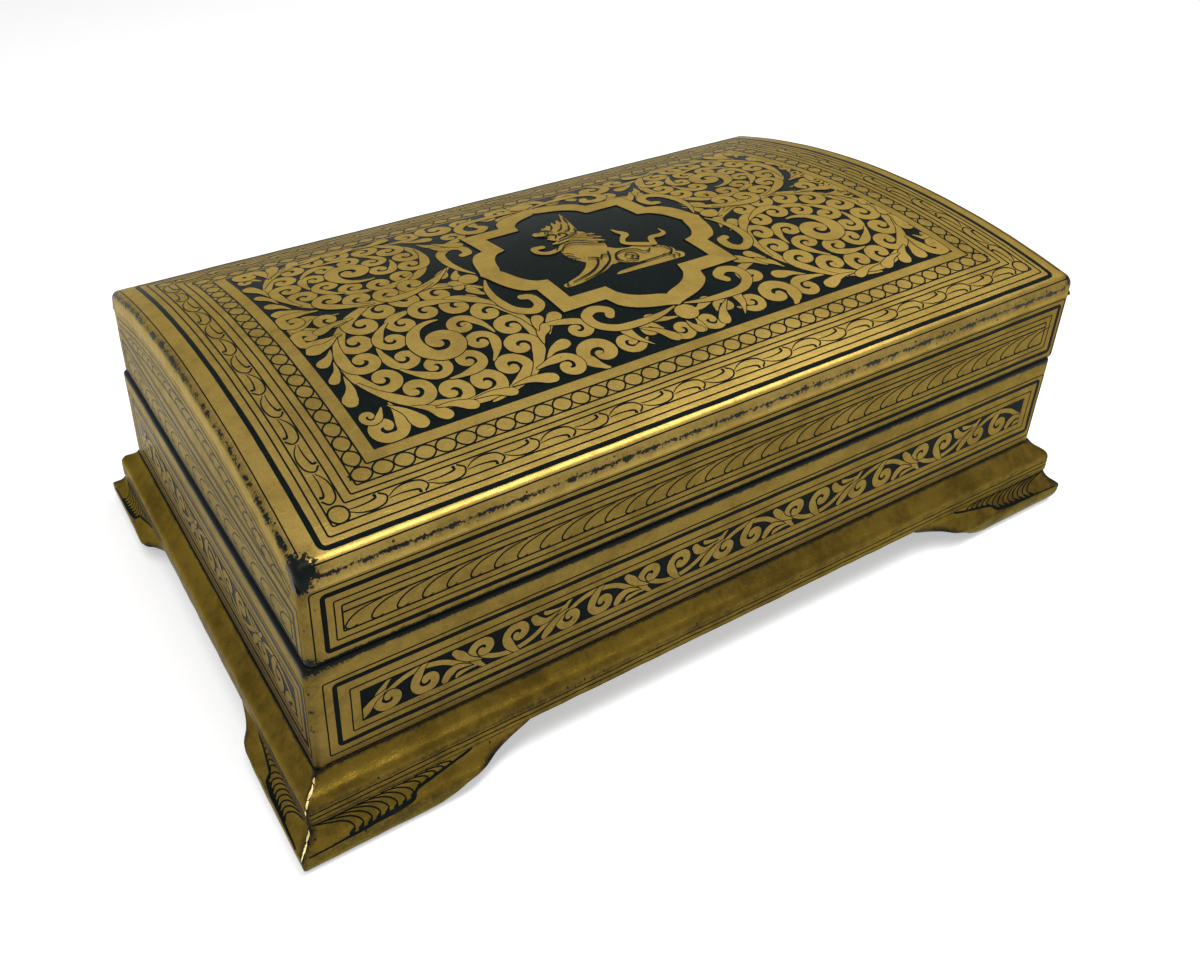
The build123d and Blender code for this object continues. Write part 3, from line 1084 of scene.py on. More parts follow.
# %% Lay out the filling of one quarter
# A curl has its centre, size, facing, hand, tail and bend, and a leaf has its tip, base and half width
QUARTER_CURLS = (
    ((42.6, 35.6), 5.9, -5, -1, 13.0, 0.03),
    ((40.6, 87.0), 5.5, -85, -1, 13.0, 0.03),
    ((105.0, 36.0), 5.2, 100, -1, 12.0, 0.02),
    ((117.6, 37.2), 7.0, 215, -1, 9.0, 0.05),
    ((118.0, 50.4), 4.9, 70, -1, 17.0, 0.035),
    ((129.0, 37.4), 4.6, -60, -1, 8.0, 0.05),
    ((148.4, 35.4), 4.4, -140, 1, 10.0, 0.05),
    ((139.0, 39.5), 3.4, 30, 1, 5.0, 0.05),
    ((40.2, 41.6), 3.2, -30, -1, 6.0, 0.03),
)
QUARTER_LEAVES = (
    ((52.5, 33.4), (47.0, 44.0), 2.5),
    ((60.5, 33.2), (53.0, 40.5), 2.3),
    ((69.5, 33.4), (59.0, 37.0), 2.0),
    ((39.0, 78.6), (49.0, 83.0), 2.5),
    ((38.8, 70.6), (44.0, 77.0), 2.0),
    ((38.2, 61.0), (42.0, 70.0), 1.7),
    ((38.2, 50.0), (41.6, 62.0), 2.3),
    ((83.0, 33.2), (71.0, 35.4), 1.7),
    ((97.0, 33.4), (84.0, 35.2), 2.2),
    ((109.6, 46.0), (100.5, 41.5), 2.3),
    ((108.5, 56.0), (104.0, 48.5), 2.2),
    ((109.5, 61.0), (106.0, 55.0), 2.0),
    ((115.6, 60.2), (108.5, 52.0), 2.3),
    ((97.0, 83.6), (103.0, 78.0), 2.3),
    ((100.5, 88.0), (104.5, 81.5), 1.9),
    ((97.5, 91.5), (101.0, 95.0), 1.9),
    ((142.5, 45.0), (152.0, 41.5), 2.0),
    ((131.0, 43.6), (135.5, 33.0), 1.9),
    ((144.0, 33.2), (136.0, 42.0), 1.9),
    ((154.6, 33.0), (156.0, 38.5), 1.7),
    ((45.0, 99.0), (56.0, 96.5), 1.9),
    ((39.0, 94.3), (47.0, 97.5), 2.2),
)


def quarter_filling():
    """The small curls and leaves of the near left quarter."""
    curls = [curl(*values) for values in QUARTER_CURLS]
    return curls + [leaf_spray(*values) for values in QUARTER_LEAVES]


# %% [markdown]
# ## The cartouche
# The middle of the lid is a quatrefoil: four lobes with a small point on each, and square shoulders between
# them. It is worked out for one lobe and turned round, for the outer and the inner edge of a gold band.

# %% Lay out the cartouche
CARTOUCHE = np.array([156.0, 94.3])
OUTER_EDGE = {"shoulder": (36.8, 34.2), "lobe": (20.0, 18.0), "tip": (48.0, 47.8)}
INNER_EDGE = {"shoulder": (29.8, 27.4), "lobe": (15.4, 14.0), "tip": (40.3, 41.0)}


def cartouche_edge(shoulder, lobe, tip):
    """One edge of the cartouche, anticlockwise from the middle of its right side."""
    t = np.linspace(0, 1, 14)
    swell = 0.88 * np.sqrt(1 - (1 - t) ** 2) + 0.12 * t**7
    rise_right = np.column_stack([shoulder[0] + (tip[0] - shoulder[0]) * swell, lobe[1] * (1 - t)])[::-1]
    rise_top = np.column_stack([lobe[0] * (1 - t), shoulder[1] + (tip[1] - shoulder[1]) * swell])
    side = np.linspace(0, 1, 5)[1:-1, None]
    corner = np.array([shoulder])
    up = rise_right[-1] + side * (corner - rise_right[-1])
    over = corner + side * (rise_top[0] - corner)
    quarter = np.vstack([rise_right, up, corner, over, rise_top])
    half = np.vstack([quarter, quarter[::-1][1:] * (-1, 1)])
    return np.vstack([half, half[::-1][1:-1] * (1, -1)]) + CARTOUCHE


SIDE_HOOK = (
    (107.7, 91.3, 0.25),
    (104.9, 84.5, 1.1),
    (104.1, 77.0, 1.5),
    (105.8, 69.5, 1.7),
    (111.0, 65.6, 1.8),
    (115.0, 68.2, 1.8),
    (114.9, 73.2, 1.7),
    (112.2, 74.6, 1.5),
)
END_HOOK = (
    (154.0, 46.6, 0.25),
    (147.0, 44.9, 1.0),
    (138.5, 44.2, 1.5),
    (130.0, 44.9, 1.7),
    (124.6, 49.0, 1.8),
    (124.3, 54.6, 1.9),
    (128.6, 57.0, 1.9),
    (132.6, 54.6, 1.8),
    (131.4, 51.6, 1.5),
)
BOSSES = ((103.4, 95.0, 3.3), (208.6, 93.6, 3.3), (155.6, 42.3, 3.9), (156.5, 146.6, 3.9))


def cartouche_hooks():
    """Eight hooked scrolls round the cartouche, and a boss at each of its points."""
    near_left = [brush(*SIDE_HOOK), brush(*END_HOOK)]
    left = near_left + mirrored(near_left, up=CARTOUCHE[1])
    hooks = left + mirrored(left, across=CARTOUCHE[0])
    return hooks + [brush((u - 0.2, v, r), (u + 0.2, v, r)) for u, v, r in BOSSES]


# %% [markdown]
# The panel is the sum of these. The first scroll is turned over and stretched a little for each corner.
# Anything that would cross the frame is pressed back inside it, as a painter squeezes a curl that has too
# little room.

# %% Compose the panel
PANEL_LEFT, PANEL_RIGHT, PANEL_FRONT, PANEL_REAR = 35.7, 268.6, 29.4, 152.0
PANEL_MARGIN = 0.25
FILLING_MIDDLE = (154.2, 93.5)
SCROLL_PLACES = (
    ((75.5, 64.0), 1.0, 1.0),
    ((234.8, 62.8), -0.96, 0.98),
    ((72.5, 125.0), 0.93, -0.84),
    ((233.8, 124.0), -0.93, -0.85),
)
UPPER_SHARE, UPPER_SHIFT = (1, 0.93, 0.96), (0, 6.2, 0)
BETWEEN_CURL = ((50.8, 94.0), 4.7, -75, -1, 9.0, 0.01)


def pressed_inside(path):
    """Keep a stroke inside the panel."""
    inside = path.copy()
    room = path[:, 2] + PANEL_MARGIN
    inside[:, 0] = np.clip(path[:, 0], PANEL_LEFT + room, PANEL_RIGHT - room)
    inside[:, 1] = np.clip(path[:, 1], PANEL_FRONT + room, PANEL_REAR - room)
    return inside


def both_ends(strokes):
    """Strokes of the left half of the panel, and then their mirror images on the right."""
    return strokes + mirrored(strokes, across=FILLING_MIDDLE[0])


def panel_strokes():
    """All the gold scrollwork of the panel, without the cartouche's band."""
    one = scroll()
    strokes = []
    for centre, width, height in SCROLL_PLACES:
        strokes += moved(one, centre, width, height)
    filling = quarter_filling()
    upper = [path * UPPER_SHARE + UPPER_SHIFT for path in mirrored(filling, up=FILLING_MIDDLE[1])]
    between = [curl(*BETWEEN_CURL)]
    strokes += both_ends(filling) + both_ends(upper) + both_ends(between)
    return [pressed_inside(path) for path in strokes + cartouche_hooks()]


# %% [markdown]
# ## From flat layouts to the box
# A layout is flat. A sheet is the function that lays it on a face of the box: it takes places across and up
# the layout, and a lift off the skin, and gives points in the box's frame. There is one for the crown, and
# one for each upright face.


# %% Define the sheets
def crown_sheet(u, v, lift):
    """The crown's layout: u from its left edge and v from its front arris."""
    return on_lid(np.asarray(u) - HALF_LENGTH, np.asarray(v) - HALF_CROWN, lift)


def on_upright(side, u, v, lift, corner, push):
    """Points on an upright face whose corners are rounded."""
    u, v, lift = np.broadcast_arrays(np.asarray(u, dtype=float), v, lift)
    straight = SIDES[side][2] - corner
    turned = np.clip((np.abs(u) - straight) / corner, 0, pi / 2)
    run = np.sign(u) * (np.minimum(np.abs(u), straight) + corner * np.sin(turned))
    base = place(side, run, -corner * (1 - np.cos(turned)), v, push)
    outward, along = SIDES[side][:2]
    normal = np.multiply.outer(np.cos(turned), outward)
    normal = normal + np.multiply.outer(np.sign(u) * np.sin(turned), along)
    return base + normal * (lift + unevenness(base))[..., None]


def lid_sheet(side):
    """The layout of one upright face of the lid: run from its middle, and height."""
    if side == "front":
        return lambda u, v, lift: on_lid(u, -wall_distance(v), lift)
    if side == "back":
        return lambda u, v, lift: on_lid(-u, wall_distance(v), lift)
    return lambda u, v, lift: on_upright(side, u, v, lift, END_ROUND, PUSH)


def case_sheet(side):
    """The layout of one upright face of the case."""
    return lambda u, v, lift: on_upright(side, u, v, lift, CASE_ROUND, 0.0)


# %% [markdown]
# ## A brush made of nodes
# The painter's hand is a Geometry Nodes tree. It repeats a motif along a line, makes every stroke waver a
# little in place and in width, and gives it a thin solid section with a flat top. Each painted piece is one
# curve object that goes through this tree, becomes a plain mesh, and is then laid on its sheet.

# %% Make the brush tree
BRUSH_SOCKETS = {
    "Geometry": "Geometry",
    "Count": "Int",
    "Step": "Vector",
    "Alternate": "Int",
    "Waver": "Float",
    "Seed": "Float",
    "Thickness": "Float",
    "Material": "Material",
}


def brush_tree():
    """The node tree of the brush, and the identifiers of its inputs by name."""
    tree = bpy.data.node_groups.new("brush stroke", "GeometryNodeTree")
    for name, kind in BRUSH_SOCKETS.items():
        tree.interface.new_socket(name, in_out="INPUT", socket_type=f"NodeSocket{kind}")
    tree.interface.new_socket("Geometry", in_out="OUTPUT", socket_type="NodeSocketGeometry")
    given = tree.nodes.new("NodeGroupInput").outputs

    def geometry(kind, options=None, **inputs):
        """Add a geometry node and return its first output."""
        return add_node(tree, f"GeometryNode{kind}", options, **inputs).outputs[0]

    def vector(**parts):
        """Join numbers into a vector."""
        return add_node(tree, "ShaderNodeCombineXYZ", None, **parts).outputs[0]

    def vector_math(operation, **inputs):
        """Add a Vector Math node and return its vector."""
        return add_node(tree, "ShaderNodeVectorMath", {"operation": operation}, **inputs).outputs[0]

    def tremble(spot, scale, detail):
        """A noise that changes along the strokes and with the seed."""
        inputs = {"Vector": spot, "W": given["Seed"], "Scale": scale, "Detail": detail}
        return add_node(tree, "ShaderNodeTexNoise", {"noise_dimensions": "4D"}, **inputs).outputs

    # Repeat the motif along a line, and turn every second copy over where that is asked for
    line = geometry("MeshLine", Count=given["Count"], Offset=given["Step"])
    odd = calculate(tree, "MODULO", geometry("InputIndex"), 2.0)
    odd = calculate(tree, "MULTIPLY", odd, given["Alternate"])
    flip = vector(X=1.0, Y=calculate(tree, "MULTIPLY_ADD", odd, -2.0, 1.0), Z=1.0)
    copies = geometry("InstanceOnPoints", Points=line, Instance=given["Geometry"], Scale=flip)
    strokes = geometry("RealizeInstances", Geometry=copies)

    # Sway the strokes a little, and press harder here and softer there
    spot = geometry("InputPosition")
    sway = vector_math("SUBTRACT", i0=tremble(spot, 0.09, 2.0)["Color"], i1=(0.5, 0.5, 0.5))
    sway = vector_math("MULTIPLY", i0=sway, i1=(2.4, 2.4, 0.0))
    sway = vector_math("SCALE", i0=sway, Scale=given["Waver"])
    strokes = geometry("SetPosition", Geometry=strokes, Offset=sway)
    pressure = calculate(tree, "SUBTRACT", tremble(spot, 0.35, 3.0)[0], 0.5)
    pressing = calculate(tree, "MULTIPLY_ADD", pressure, given["Waver"], 0.5)
    width = calculate(tree, "MULTIPLY", geometry("InputRadius"), calculate(tree, "MULTIPLY", pressing, 2.0))

    # Give them a thin section with a flat top
    upright = geometry("SetCurveNormal", {"mode": "Z_UP"}, Curve=strokes)
    section = geometry("CurvePrimitiveCircle", {"mode": "RADIUS"}, Resolution=3, Radius=1.0)
    section = geometry("Transform", Geometry=section, Rotation=(0, 0, pi / 2))
    thin = vector(X=1 / cos(pi / 6), Y=given["Thickness"], Z=1.0)
    lowered = vector(Y=calculate(tree, "MULTIPLY", given["Thickness"], 0.5))
    section = geometry("Transform", Geometry=section, Scale=thin, Translation=lowered)
    solid = geometry("CurveToMesh", Curve=upright, Profile_Curve=section, Scale=width, Fill_Caps=True)
    final = geometry("SetMaterial", Geometry=solid, Material=given["Material"])
    add_node(tree, "NodeGroupOutput", None, Geometry=final)
    names = {item.name: item.identifier for item in tree.interface.items_tree if item.in_out == "INPUT"}
    return tree, names


BRUSH, BRUSH_INPUTS = brush_tree()
print("brush tree inputs", list(BRUSH_INPUTS))

# %% [markdown]
# Painting takes strokes, a sheet and a level. Motifs that repeat give a count and a step. The result is one
# mesh of closed strokes, which rides with the body that its face belongs to.

# %% Define painting
BLACK_LEVEL = 0.05
EDGING, EDGE_DROP = 0.32, 0.022
SLAB_DEPTH = 0.3
LEVEL_STEP = 0.045


def slot_of(material):
    """The finish of a painted piece, for the frame."""
    return "black_lacquer" if material is black_lacquer else "gilded_lacquer"


def flat_curve(name, strokes, level, closed):
    """A curve object that holds strokes as they lie on a layout. A level may be one value or one a stroke."""
    curve = bpy.data.curves.new(name, "CURVE")
    curve.dimensions = "3D"
    for path, lift in zip(strokes, np.broadcast_to(level, len(strokes))):
        spline = curve.splines.new("POLY")
        spline.points.add(len(path) - 1)
        flat = np.column_stack([path[:, :2], np.full(len(path), lift), np.ones(len(path))])
        spline.points.foreach_set("co", flat.ravel())
        spline.points.foreach_set("radius", path[:, 2])
        spline.use_cyclic_u = closed
    return new_object(name, curve)


def paint(name, sheet, strokes, level, material, body, closed=False, waver=0.12, seed=0.0, **repeats):
    """Run strokes through the brush tree and lay them on a sheet."""
    drawn = flat_curve(name, strokes, level, closed)
    modifier = drawn.modifiers.new("brush", "NODES")
    modifier.node_group = BRUSH
    values = {"Count": 1, "Step": (0.0, 0.0, 0.0), "Alternate": 0, "Waver": waver, "Seed": seed}
    values.update({"Thickness": 0.3, "Material": material}, **repeats)
    for socket, value in values.items():
        modifier[BRUSH_INPUTS[socket]] = value
    ready = drawn.evaluated_get(bpy.context.evaluated_depsgraph_get())
    mesh = bpy.data.meshes.new_from_object(ready)
    curve = drawn.data
    bpy.data.objects.remove(drawn)
    bpy.data.curves.remove(curve)
    mesh.vertices.foreach_set("co", (sheet(*mesh_places(mesh).T) * MM).ravel())
    mesh.update()
    mesh.name = name
    piece = new_object(name, mesh)
    smooth_by_angle(piece)
    finish_piece(piece, body, slot_of(material))


def draw(name, sheet, strokes, body, **manner):
    """Paint black lines straight on the leaf."""
    paint(name, sheet, strokes, BLACK_LEVEL, black_lacquer, body, **manner)


def gild(name, edge_name, sheet, strokes, levels, gold, body, **manner):
    """Paint gold strokes, each with a wider black one just under it that parts it from the next."""
    wider = [path + (0, 0, EDGING) for path in strokes]
    paint(edge_name, sheet, wider, levels - EDGE_DROP, black_lacquer, body, **manner)
    paint(name, sheet, strokes, levels, gold, body, **manner)


def overlap(first, second, gap):
    """Whether two strokes come nearer to each other than a gap."""
    reach = first[:, 2].max() + second[:, 2].max() + gap
    between = np.maximum(first.min(0), second.min(0)) - np.minimum(first.max(0), second.max(0))
    if between[:2].max() > reach:
        return False
    apart = np.hypot(*(first[:, None, :2] - second[None, :, :2]).transpose(2, 0, 1))
    return bool((apart < first[:, None, 2] + second[None, :, 2] + gap).any())


def settle(strokes, base, gap=0.5):
    """A level for each stroke, so that no two strokes that cross lie at the same level."""
    floors = []
    for number, path in enumerate(strokes):
        taken = {floors[other] for other in range(number) if overlap(path, strokes[other], gap)}
        floors.append(next(floor for floor in range(len(strokes)) if floor not in taken))
    return base + LEVEL_STEP * np.array(floors, dtype=float)


def slab(name, sheet, rows, level, material, body, wrap=False):
    """A thin closed solid laid on a sheet, from a grid of flat places."""
    rows = np.asarray(rows, dtype=float)
    top = sheet(rows[..., 0], rows[..., 1], level).reshape(-1, 3)
    under = sheet(rows[..., 0], rows[..., 1], -SLAB_DEPTH).reshape(-1, 3)
    index = np.arange(len(top)).reshape(rows.shape[:2])
    if wrap:
        index = np.vstack([index, index[:1]])
    quads = np.stack([index[:-1, :-1], index[1:, :-1], index[1:, 1:], index[:-1, 1:]], -1).reshape(-1, 4)
    faces = [*quads.tolist(), *(quads[:, ::-1] + len(top)).tolist()]
    rims = [index[:, 0], index[:, -1]] if wrap else [index[:, 0], index[:, -1], index[0], index[-1]]
    for rim in rims:
        edge = np.column_stack([rim[:-1], rim[1:]])
        faces += np.column_stack([edge, edge[:, ::-1] + len(top)]).tolist()
    piece = tidy(make_mesh(name, np.vstack([top, under]), faces, material))
    finish_piece(piece, body, slot_of(material))


def grid(left, bottom, right, top, spacing=2.4):
    """Rows of places that fill a rectangle."""
    across = np.linspace(left, right, max(2, int((right - left) / spacing)))
    up = np.linspace(bottom, top, max(2, int((top - bottom) / spacing)))
    return np.stack(np.meshgrid(across, up, indexing="ij"), -1)


# %% [markdown]
# ## The borders of the crown
# Seven fine lines and one thick one frame the crown. They are drawn freehand, closer together at the
# front than at the left. Between them run a row of wave scrolls and a chain of rings.

# %% Draw the lines of the crown
# Half widths of a common line and of a finer one
LINE, FINE = 0.26, 0.21
CROWN_WIDTH, CROWN_DEPTH = 2 * HALF_LENGTH, 2 * HALF_CROWN
CORNER_TURNS = np.radians([0, 30, 60, 90])


def frame_line(left, bottom, right, top, width, corner):
    """A closed rectangle with rounded corners, as one stroke."""
    path = []
    for number, (x, y) in enumerate(((right, bottom), (right, top), (left, top), (left, bottom))):
        swing = (number - 1) * pi / 2 + CORNER_TURNS
        centre_x = x - corner if x == right else x + corner
        centre_y = y + corner if y == bottom else y - corner
        path.append(np.column_stack([centre_x + corner * np.cos(swing), centre_y + corner * np.sin(swing)]))
    path = np.vstack([*path, path[0][:1]])
    pieces = []
    for start, finish in zip(path, path[1:]):
        count = max(1, int(np.hypot(*(finish - start)) / 3.5))
        pieces.append(start + (finish - start) * np.linspace(0, 1, count, endpoint=False)[:, None])
    path = np.vstack(pieces)
    return np.column_stack([path, np.full(len(path), width)])


def straight_line(start, finish, width):
    """An open straight stroke."""
    start, finish = np.array(start, dtype=float), np.array(finish, dtype=float)
    count = max(3, int(np.hypot(*(finish - start)) / 3.0))
    path = start + (finish - start) * np.linspace(0, 1, count)[:, None]
    return np.column_stack([path, np.full(count, width)])


def circle(u, v, radius, width, count):
    """A closed round stroke."""
    swing = np.linspace(0, 2 * pi, count, endpoint=False)
    return np.column_stack([u + radius * np.cos(swing), v + radius * np.sin(swing), np.full(count, width)])


# Each is set in at the left, front, right and rear, and has its half width and its corner
CROWN_FRAMES = (
    (2.7, 0.9, 2.7, 0.9, FINE, 0.6),
    (8.8, 4.1, 7.5, 4.3, 0.82, 2.0),
    (12.0, 6.9, 10.0, 6.9, LINE, 0.8),
    (14.3, 9.6, 12.1, 9.5, LINE, 0.6),
    (20.2, 15.3, 17.5, 15.0, LINE, 0.6),
    (23.0, 17.3, 20.0, 17.0, LINE, 0.6),
    (25.7, 19.6, 22.4, 19.0, LINE, 0.6),
    (31.4, 25.4, 27.7, 24.6, LINE, 0.6),
)
crown_lines = [
    frame_line(left, front, CROWN_WIDTH - right, CROWN_DEPTH - rear, width, corner)
    for left, front, right, rear, width, corner in CROWN_FRAMES
]
draw("crown_frame_lines", crown_sheet, crown_lines, "lid", closed=True, waver=0.14, seed=3.0)
print("crown framed with", len(crown_lines), "lines")

# %% [markdown]
# The inner border is a chain of rings. Two strands weave past each other, and one ring with its crossings is
# the motif that the brush repeats along each side.

# %% Draw the chain of rings
RING_PITCH = 6.4
CHAIN_LEFT, CHAIN_FRONT = 28.6, 22.5
CHAIN_RIGHT, CHAIN_REAR = CROWN_WIDTH - 25.05, CROWN_DEPTH - 21.8
RING_ALONG = np.linspace(-0.56, 0.56, 19)
bulge = np.cos(pi * RING_ALONG)
RING_ACROSS = np.sign(bulge) * np.abs(bulge) ** 0.62 * 2.65


def chain(name, start, direction, length, seed):
    """A chain of rings between two places: two strands that cross once for every ring."""
    count = max(2, round(length / RING_PITCH))
    pitch = length / count
    along, across = np.array(direction), np.array([-direction[1], direction[0]])
    strokes = []
    for hand in (1, -1):
        path = np.outer(RING_ALONG * pitch, along) + np.outer(hand * RING_ACROSS, across) + np.array(start)
        strokes.append(np.column_stack([path, np.full(len(path), 0.27)]))
    step = (*(along * pitch), 0.0)
    draw(name, crown_sheet, strokes, "lid", waver=0.1, seed=seed, Count=count + 1, Step=step)


long_chain = CHAIN_RIGHT - CHAIN_LEFT
short_chain = CHAIN_REAR - CHAIN_FRONT - 2 * RING_PITCH
CHAINS = (
    ("front", (CHAIN_LEFT, CHAIN_FRONT), (1.0, 0.0), long_chain),
    ("back", (CHAIN_LEFT, CHAIN_REAR), (1.0, 0.0), long_chain),
    ("left", (CHAIN_LEFT, CHAIN_FRONT + RING_PITCH), (0.0, 1.0), short_chain),
    ("right", (CHAIN_RIGHT, CHAIN_FRONT + RING_PITCH), (0.0, 1.0), short_chain),
)
for number, (side, start, direction, length) in enumerate(CHAINS):
    chain(f"crown_chain_{side}", start, direction, length, 11.0 + number)
print("chain drawn on", len(CHAINS), "sides")

# %% [markdown]
# The outer border is a row of wave scrolls, each a round belly with a hook. The brush turns every second one
# over, and a plain ring fills each corner.

# %% Draw the wave scrolls
WAVE_BELLY = (
    (-6.4, -0.1, 0.12),
    (-3.4, -1.8, 0.2),
    (0.2, -2.35, 0.26),
    (3.8, -1.6, 0.26),
    (5.2, 0.6, 0.26),
    (3.4, 2.3, 0.3),
)
WAVE_HOOK = ((-6.4, 0.5, 0.12), (-3.0, 0.3, 0.2), (0.4, 0.6, 0.26), (2.2, 1.2, 0.4), (2.0, 2.3, 0.5))
WAVE_PITCH = 11.9
WAVE_LEFT, WAVE_FRONT = 17.3, 12.45
WAVE_RIGHT, WAVE_REAR = CROWN_WIDTH - 14.8, CROWN_DEPTH - 12.3
CORNER_ROOM, CORNER_RING = 3, 2.9


def waves(name, start, direction, length, seed):
    """A row of wave scrolls. Every second one is turned over."""
    count = max(2, round(length / WAVE_PITCH))
    pitch = length / count
    along, across = np.array(direction), np.array([-direction[1], direction[0]])

    def sheet(u, v, lift):
        flat = np.multiply.outer(u, along) + np.multiply.outer(v, across) + np.array(start)
        return crown_sheet(flat[..., 0], flat[..., 1], lift)

    first = [smooth_path(motif) + (0.5 * pitch, 0, 0) for motif in (WAVE_BELLY, WAVE_HOOK)]
    step = (pitch, 0.0, 0.0)
    draw(name, sheet, first, "lid", waver=0.1, seed=seed, Count=count, Step=step, Alternate=1)


long_row = WAVE_RIGHT - WAVE_LEFT - 2 * CORNER_ROOM
short_row = WAVE_REAR - WAVE_FRONT - 2 * CORNER_ROOM
WAVE_ROWS = (
    ("front", (WAVE_LEFT + CORNER_ROOM, WAVE_FRONT), (1.0, 0.0), long_row),
    ("back", (WAVE_RIGHT - CORNER_ROOM, WAVE_REAR), (-1.0, 0.0), long_row),
    ("left", (WAVE_LEFT, WAVE_REAR - CORNER_ROOM), (0.0, -1.0), short_row),
    ("right", (WAVE_RIGHT, WAVE_FRONT + CORNER_ROOM), (0.0, 1.0), short_row),
)
for number, (side, start, direction, length) in enumerate(WAVE_ROWS):
    waves(f"crown_waves_{side}", start, direction, length, 21.0 + number)
rings = [circle(u, v, CORNER_RING, 0.3, 24) for u in (WAVE_LEFT, WAVE_RIGHT) for v in (WAVE_FRONT, WAVE_REAR)]
draw("crown_corner_rings", crown_sheet, rings, "lid", closed=True, seed=5.0)
print("waves drawn on", len(WAVE_ROWS), "sides")

# %% [markdown]
# ## Painting the panel
# The panel is a field of bare lacquer, and its scrolls are gold. Where two curls meet, the upper one is
# edged with black. Each stroke gets a level of its own among its neighbours, some hundredths of a
# millimetre apart, and its black edge lies just under it.

# %% Paint the panel
panel = grid(PANEL_LEFT, PANEL_FRONT, PANEL_RIGHT, PANEL_REAR)
slab("panel_ground", crown_sheet, panel, BLACK_LEVEL, black_lacquer, "lid")
scrolls = panel_strokes()
scroll_levels = settle(scrolls, 0.11)
gild(
    "panel_scrolls",
    "panel_scroll_edges",
    crown_sheet,
    scrolls,
    scroll_levels,
    gilded_drawing,
    "lid",
    seed=31.0,
)


def bordered(first, second):
    """Rows of places between two outlines with the same count of points."""
    share = np.linspace(0, 1, 4)[None, :, None]
    return first[:, None] * (1 - share) + second[:, None] * share


outer, inner = cartouche_edge(**OUTER_EDGE), cartouche_edge(**INNER_EDGE)
away = (outer - CARTOUCHE) / np.linalg.norm(outer - CARTOUCHE, axis=1)[:, None] * 0.5
band, edge = bordered(outer, inner), bordered(outer + away, inner - away)
top_level = float(scroll_levels.max()) + 0.05
slab("cartouche_edge", crown_sheet, edge, top_level - 0.03, black_lacquer, "lid", wrap=True)
slab("cartouche_band", crown_sheet, band, top_level, gilded_drawing, "lid", wrap=True)
print("panel painted with", len(scrolls), "strokes on", len(set(scroll_levels)), "levels")

# %% [markdown]
# ## The upright faces
# The lid's faces carry a garland of slanted leaves inside four frames. The case's faces carry a vine in gold
# on a black band. The ends of the box repeat the front on a shorter run.


# %% Paint the faces of the lid
def side_frames(half, frames):
    """Frames on an upright face. Each is (left inset, low, right inset, high, width, corner)."""
    return [
        frame_line(-half + left, low, half - right, high, width, corner)
        for left, low, right, high, width, corner in frames
    ]


LID_FRAMES = (
    (2.6, 65.0, 2.4, 89.0, FINE, 0.8),
    (6.1, 67.8, 4.6, 86.7, 0.74, 0.9),
    (9.0, 70.4, 8.0, 83.8, FINE, 0.5),
    (11.1, 72.6, 10.3, 81.6, LINE, 0.4),
)
GARLAND_LOW, GARLAND_HIGH = 72.8, 79.2
GARLAND_PITCH, LEAF_SPACE = 7.4, 8
LEAF_LINE = (
    (10.8, 6.1, 0.1),
    (7.4, 5.7, 0.18),
    (3.6, 4.7, 0.24),
    (0.9, 2.9, 0.26),
    (-0.1, 1.1, 0.26),
    (0.5, 0.1, 0.3),
    (1.8, -0.1, 0.24),
    (3.4, 0.5, 0.1),
)


def garland(name, sheet, left, right, low, seed):
    """A row of slanted leaves, each drawn as one open line, between two places."""
    run = right - left - LEAF_SPACE
    count = int(run / GARLAND_PITCH) + 1
    pitch = run / (count - 1)
    leaf_path = smooth_path(LEAF_LINE) + (left + 0.6, low, 0)
    step = (pitch, 0.0, 0.0)
    draw(name, sheet, [leaf_path], "lid", waver=0.13, seed=seed, Count=count, Step=step)


for number, side in enumerate(("front", "back")):
    sheet = lid_sheet(side)
    lines = side_frames(HALF_LENGTH, LID_FRAMES)
    draw(f"lid_{side}_frames", sheet, lines, "lid", closed=True, seed=41.0 + number)
    left, right = LID_FRAMES[-1][0] - HALF_LENGTH, HALF_LENGTH - LID_FRAMES[-1][2]
    top_line = straight_line((left, GARLAND_HIGH), (right, GARLAND_HIGH + 0.4), LINE)
    draw(f"lid_{side}_garland_line", sheet, [top_line], "lid", seed=43.0 + number)
    garland(f"lid_{side}_garland", sheet, left, right, GARLAND_LOW, 45.0 + number)
print("long faces of the lid painted")

# %% [markdown]
# The ends of the lid are arched, so their upper lines follow the arch. A chain of small leaves runs between
# two of them, above a straight frame with a garland.

# %% Paint the ends of the lid
END_FRAMES = (
    (2.6, 64.9, 2.6, 83.2, FINE, 0.6),
    (6.0, 66.0, 6.0, 79.4, 0.68, 0.8),
    (8.6, 68.0, 8.6, 76.8, FINE, 0.5),
)
# Each has its depth below the crown, its half reach and its half width
ARCH_LINES = ((9.6, 83.0, FINE), (12.2, 82.0, LINE), (17.6, 76.0, LINE))
ARCH_FLOOR, FLOOR_LINE, FLOOR_LINE_END = 84.0, 84.4, 81.0
ARCH_LEAVES = 17.2
ARCH_LEAF_START, ARCH_LEAF_END, ARCH_LEAF_PITCH = -70.0, 69.0, 6.6
END_GARLAND_LOW, END_GARLAND_INSET = 69.2, 9.2


def arch_height(u, depth):
    """Height of a line that runs a steady depth below the crown on an end of the lid."""
    return ARCH_CENTRE + np.sqrt((ARCH_RADIUS - depth) ** 2 - np.asarray(u) ** 2)


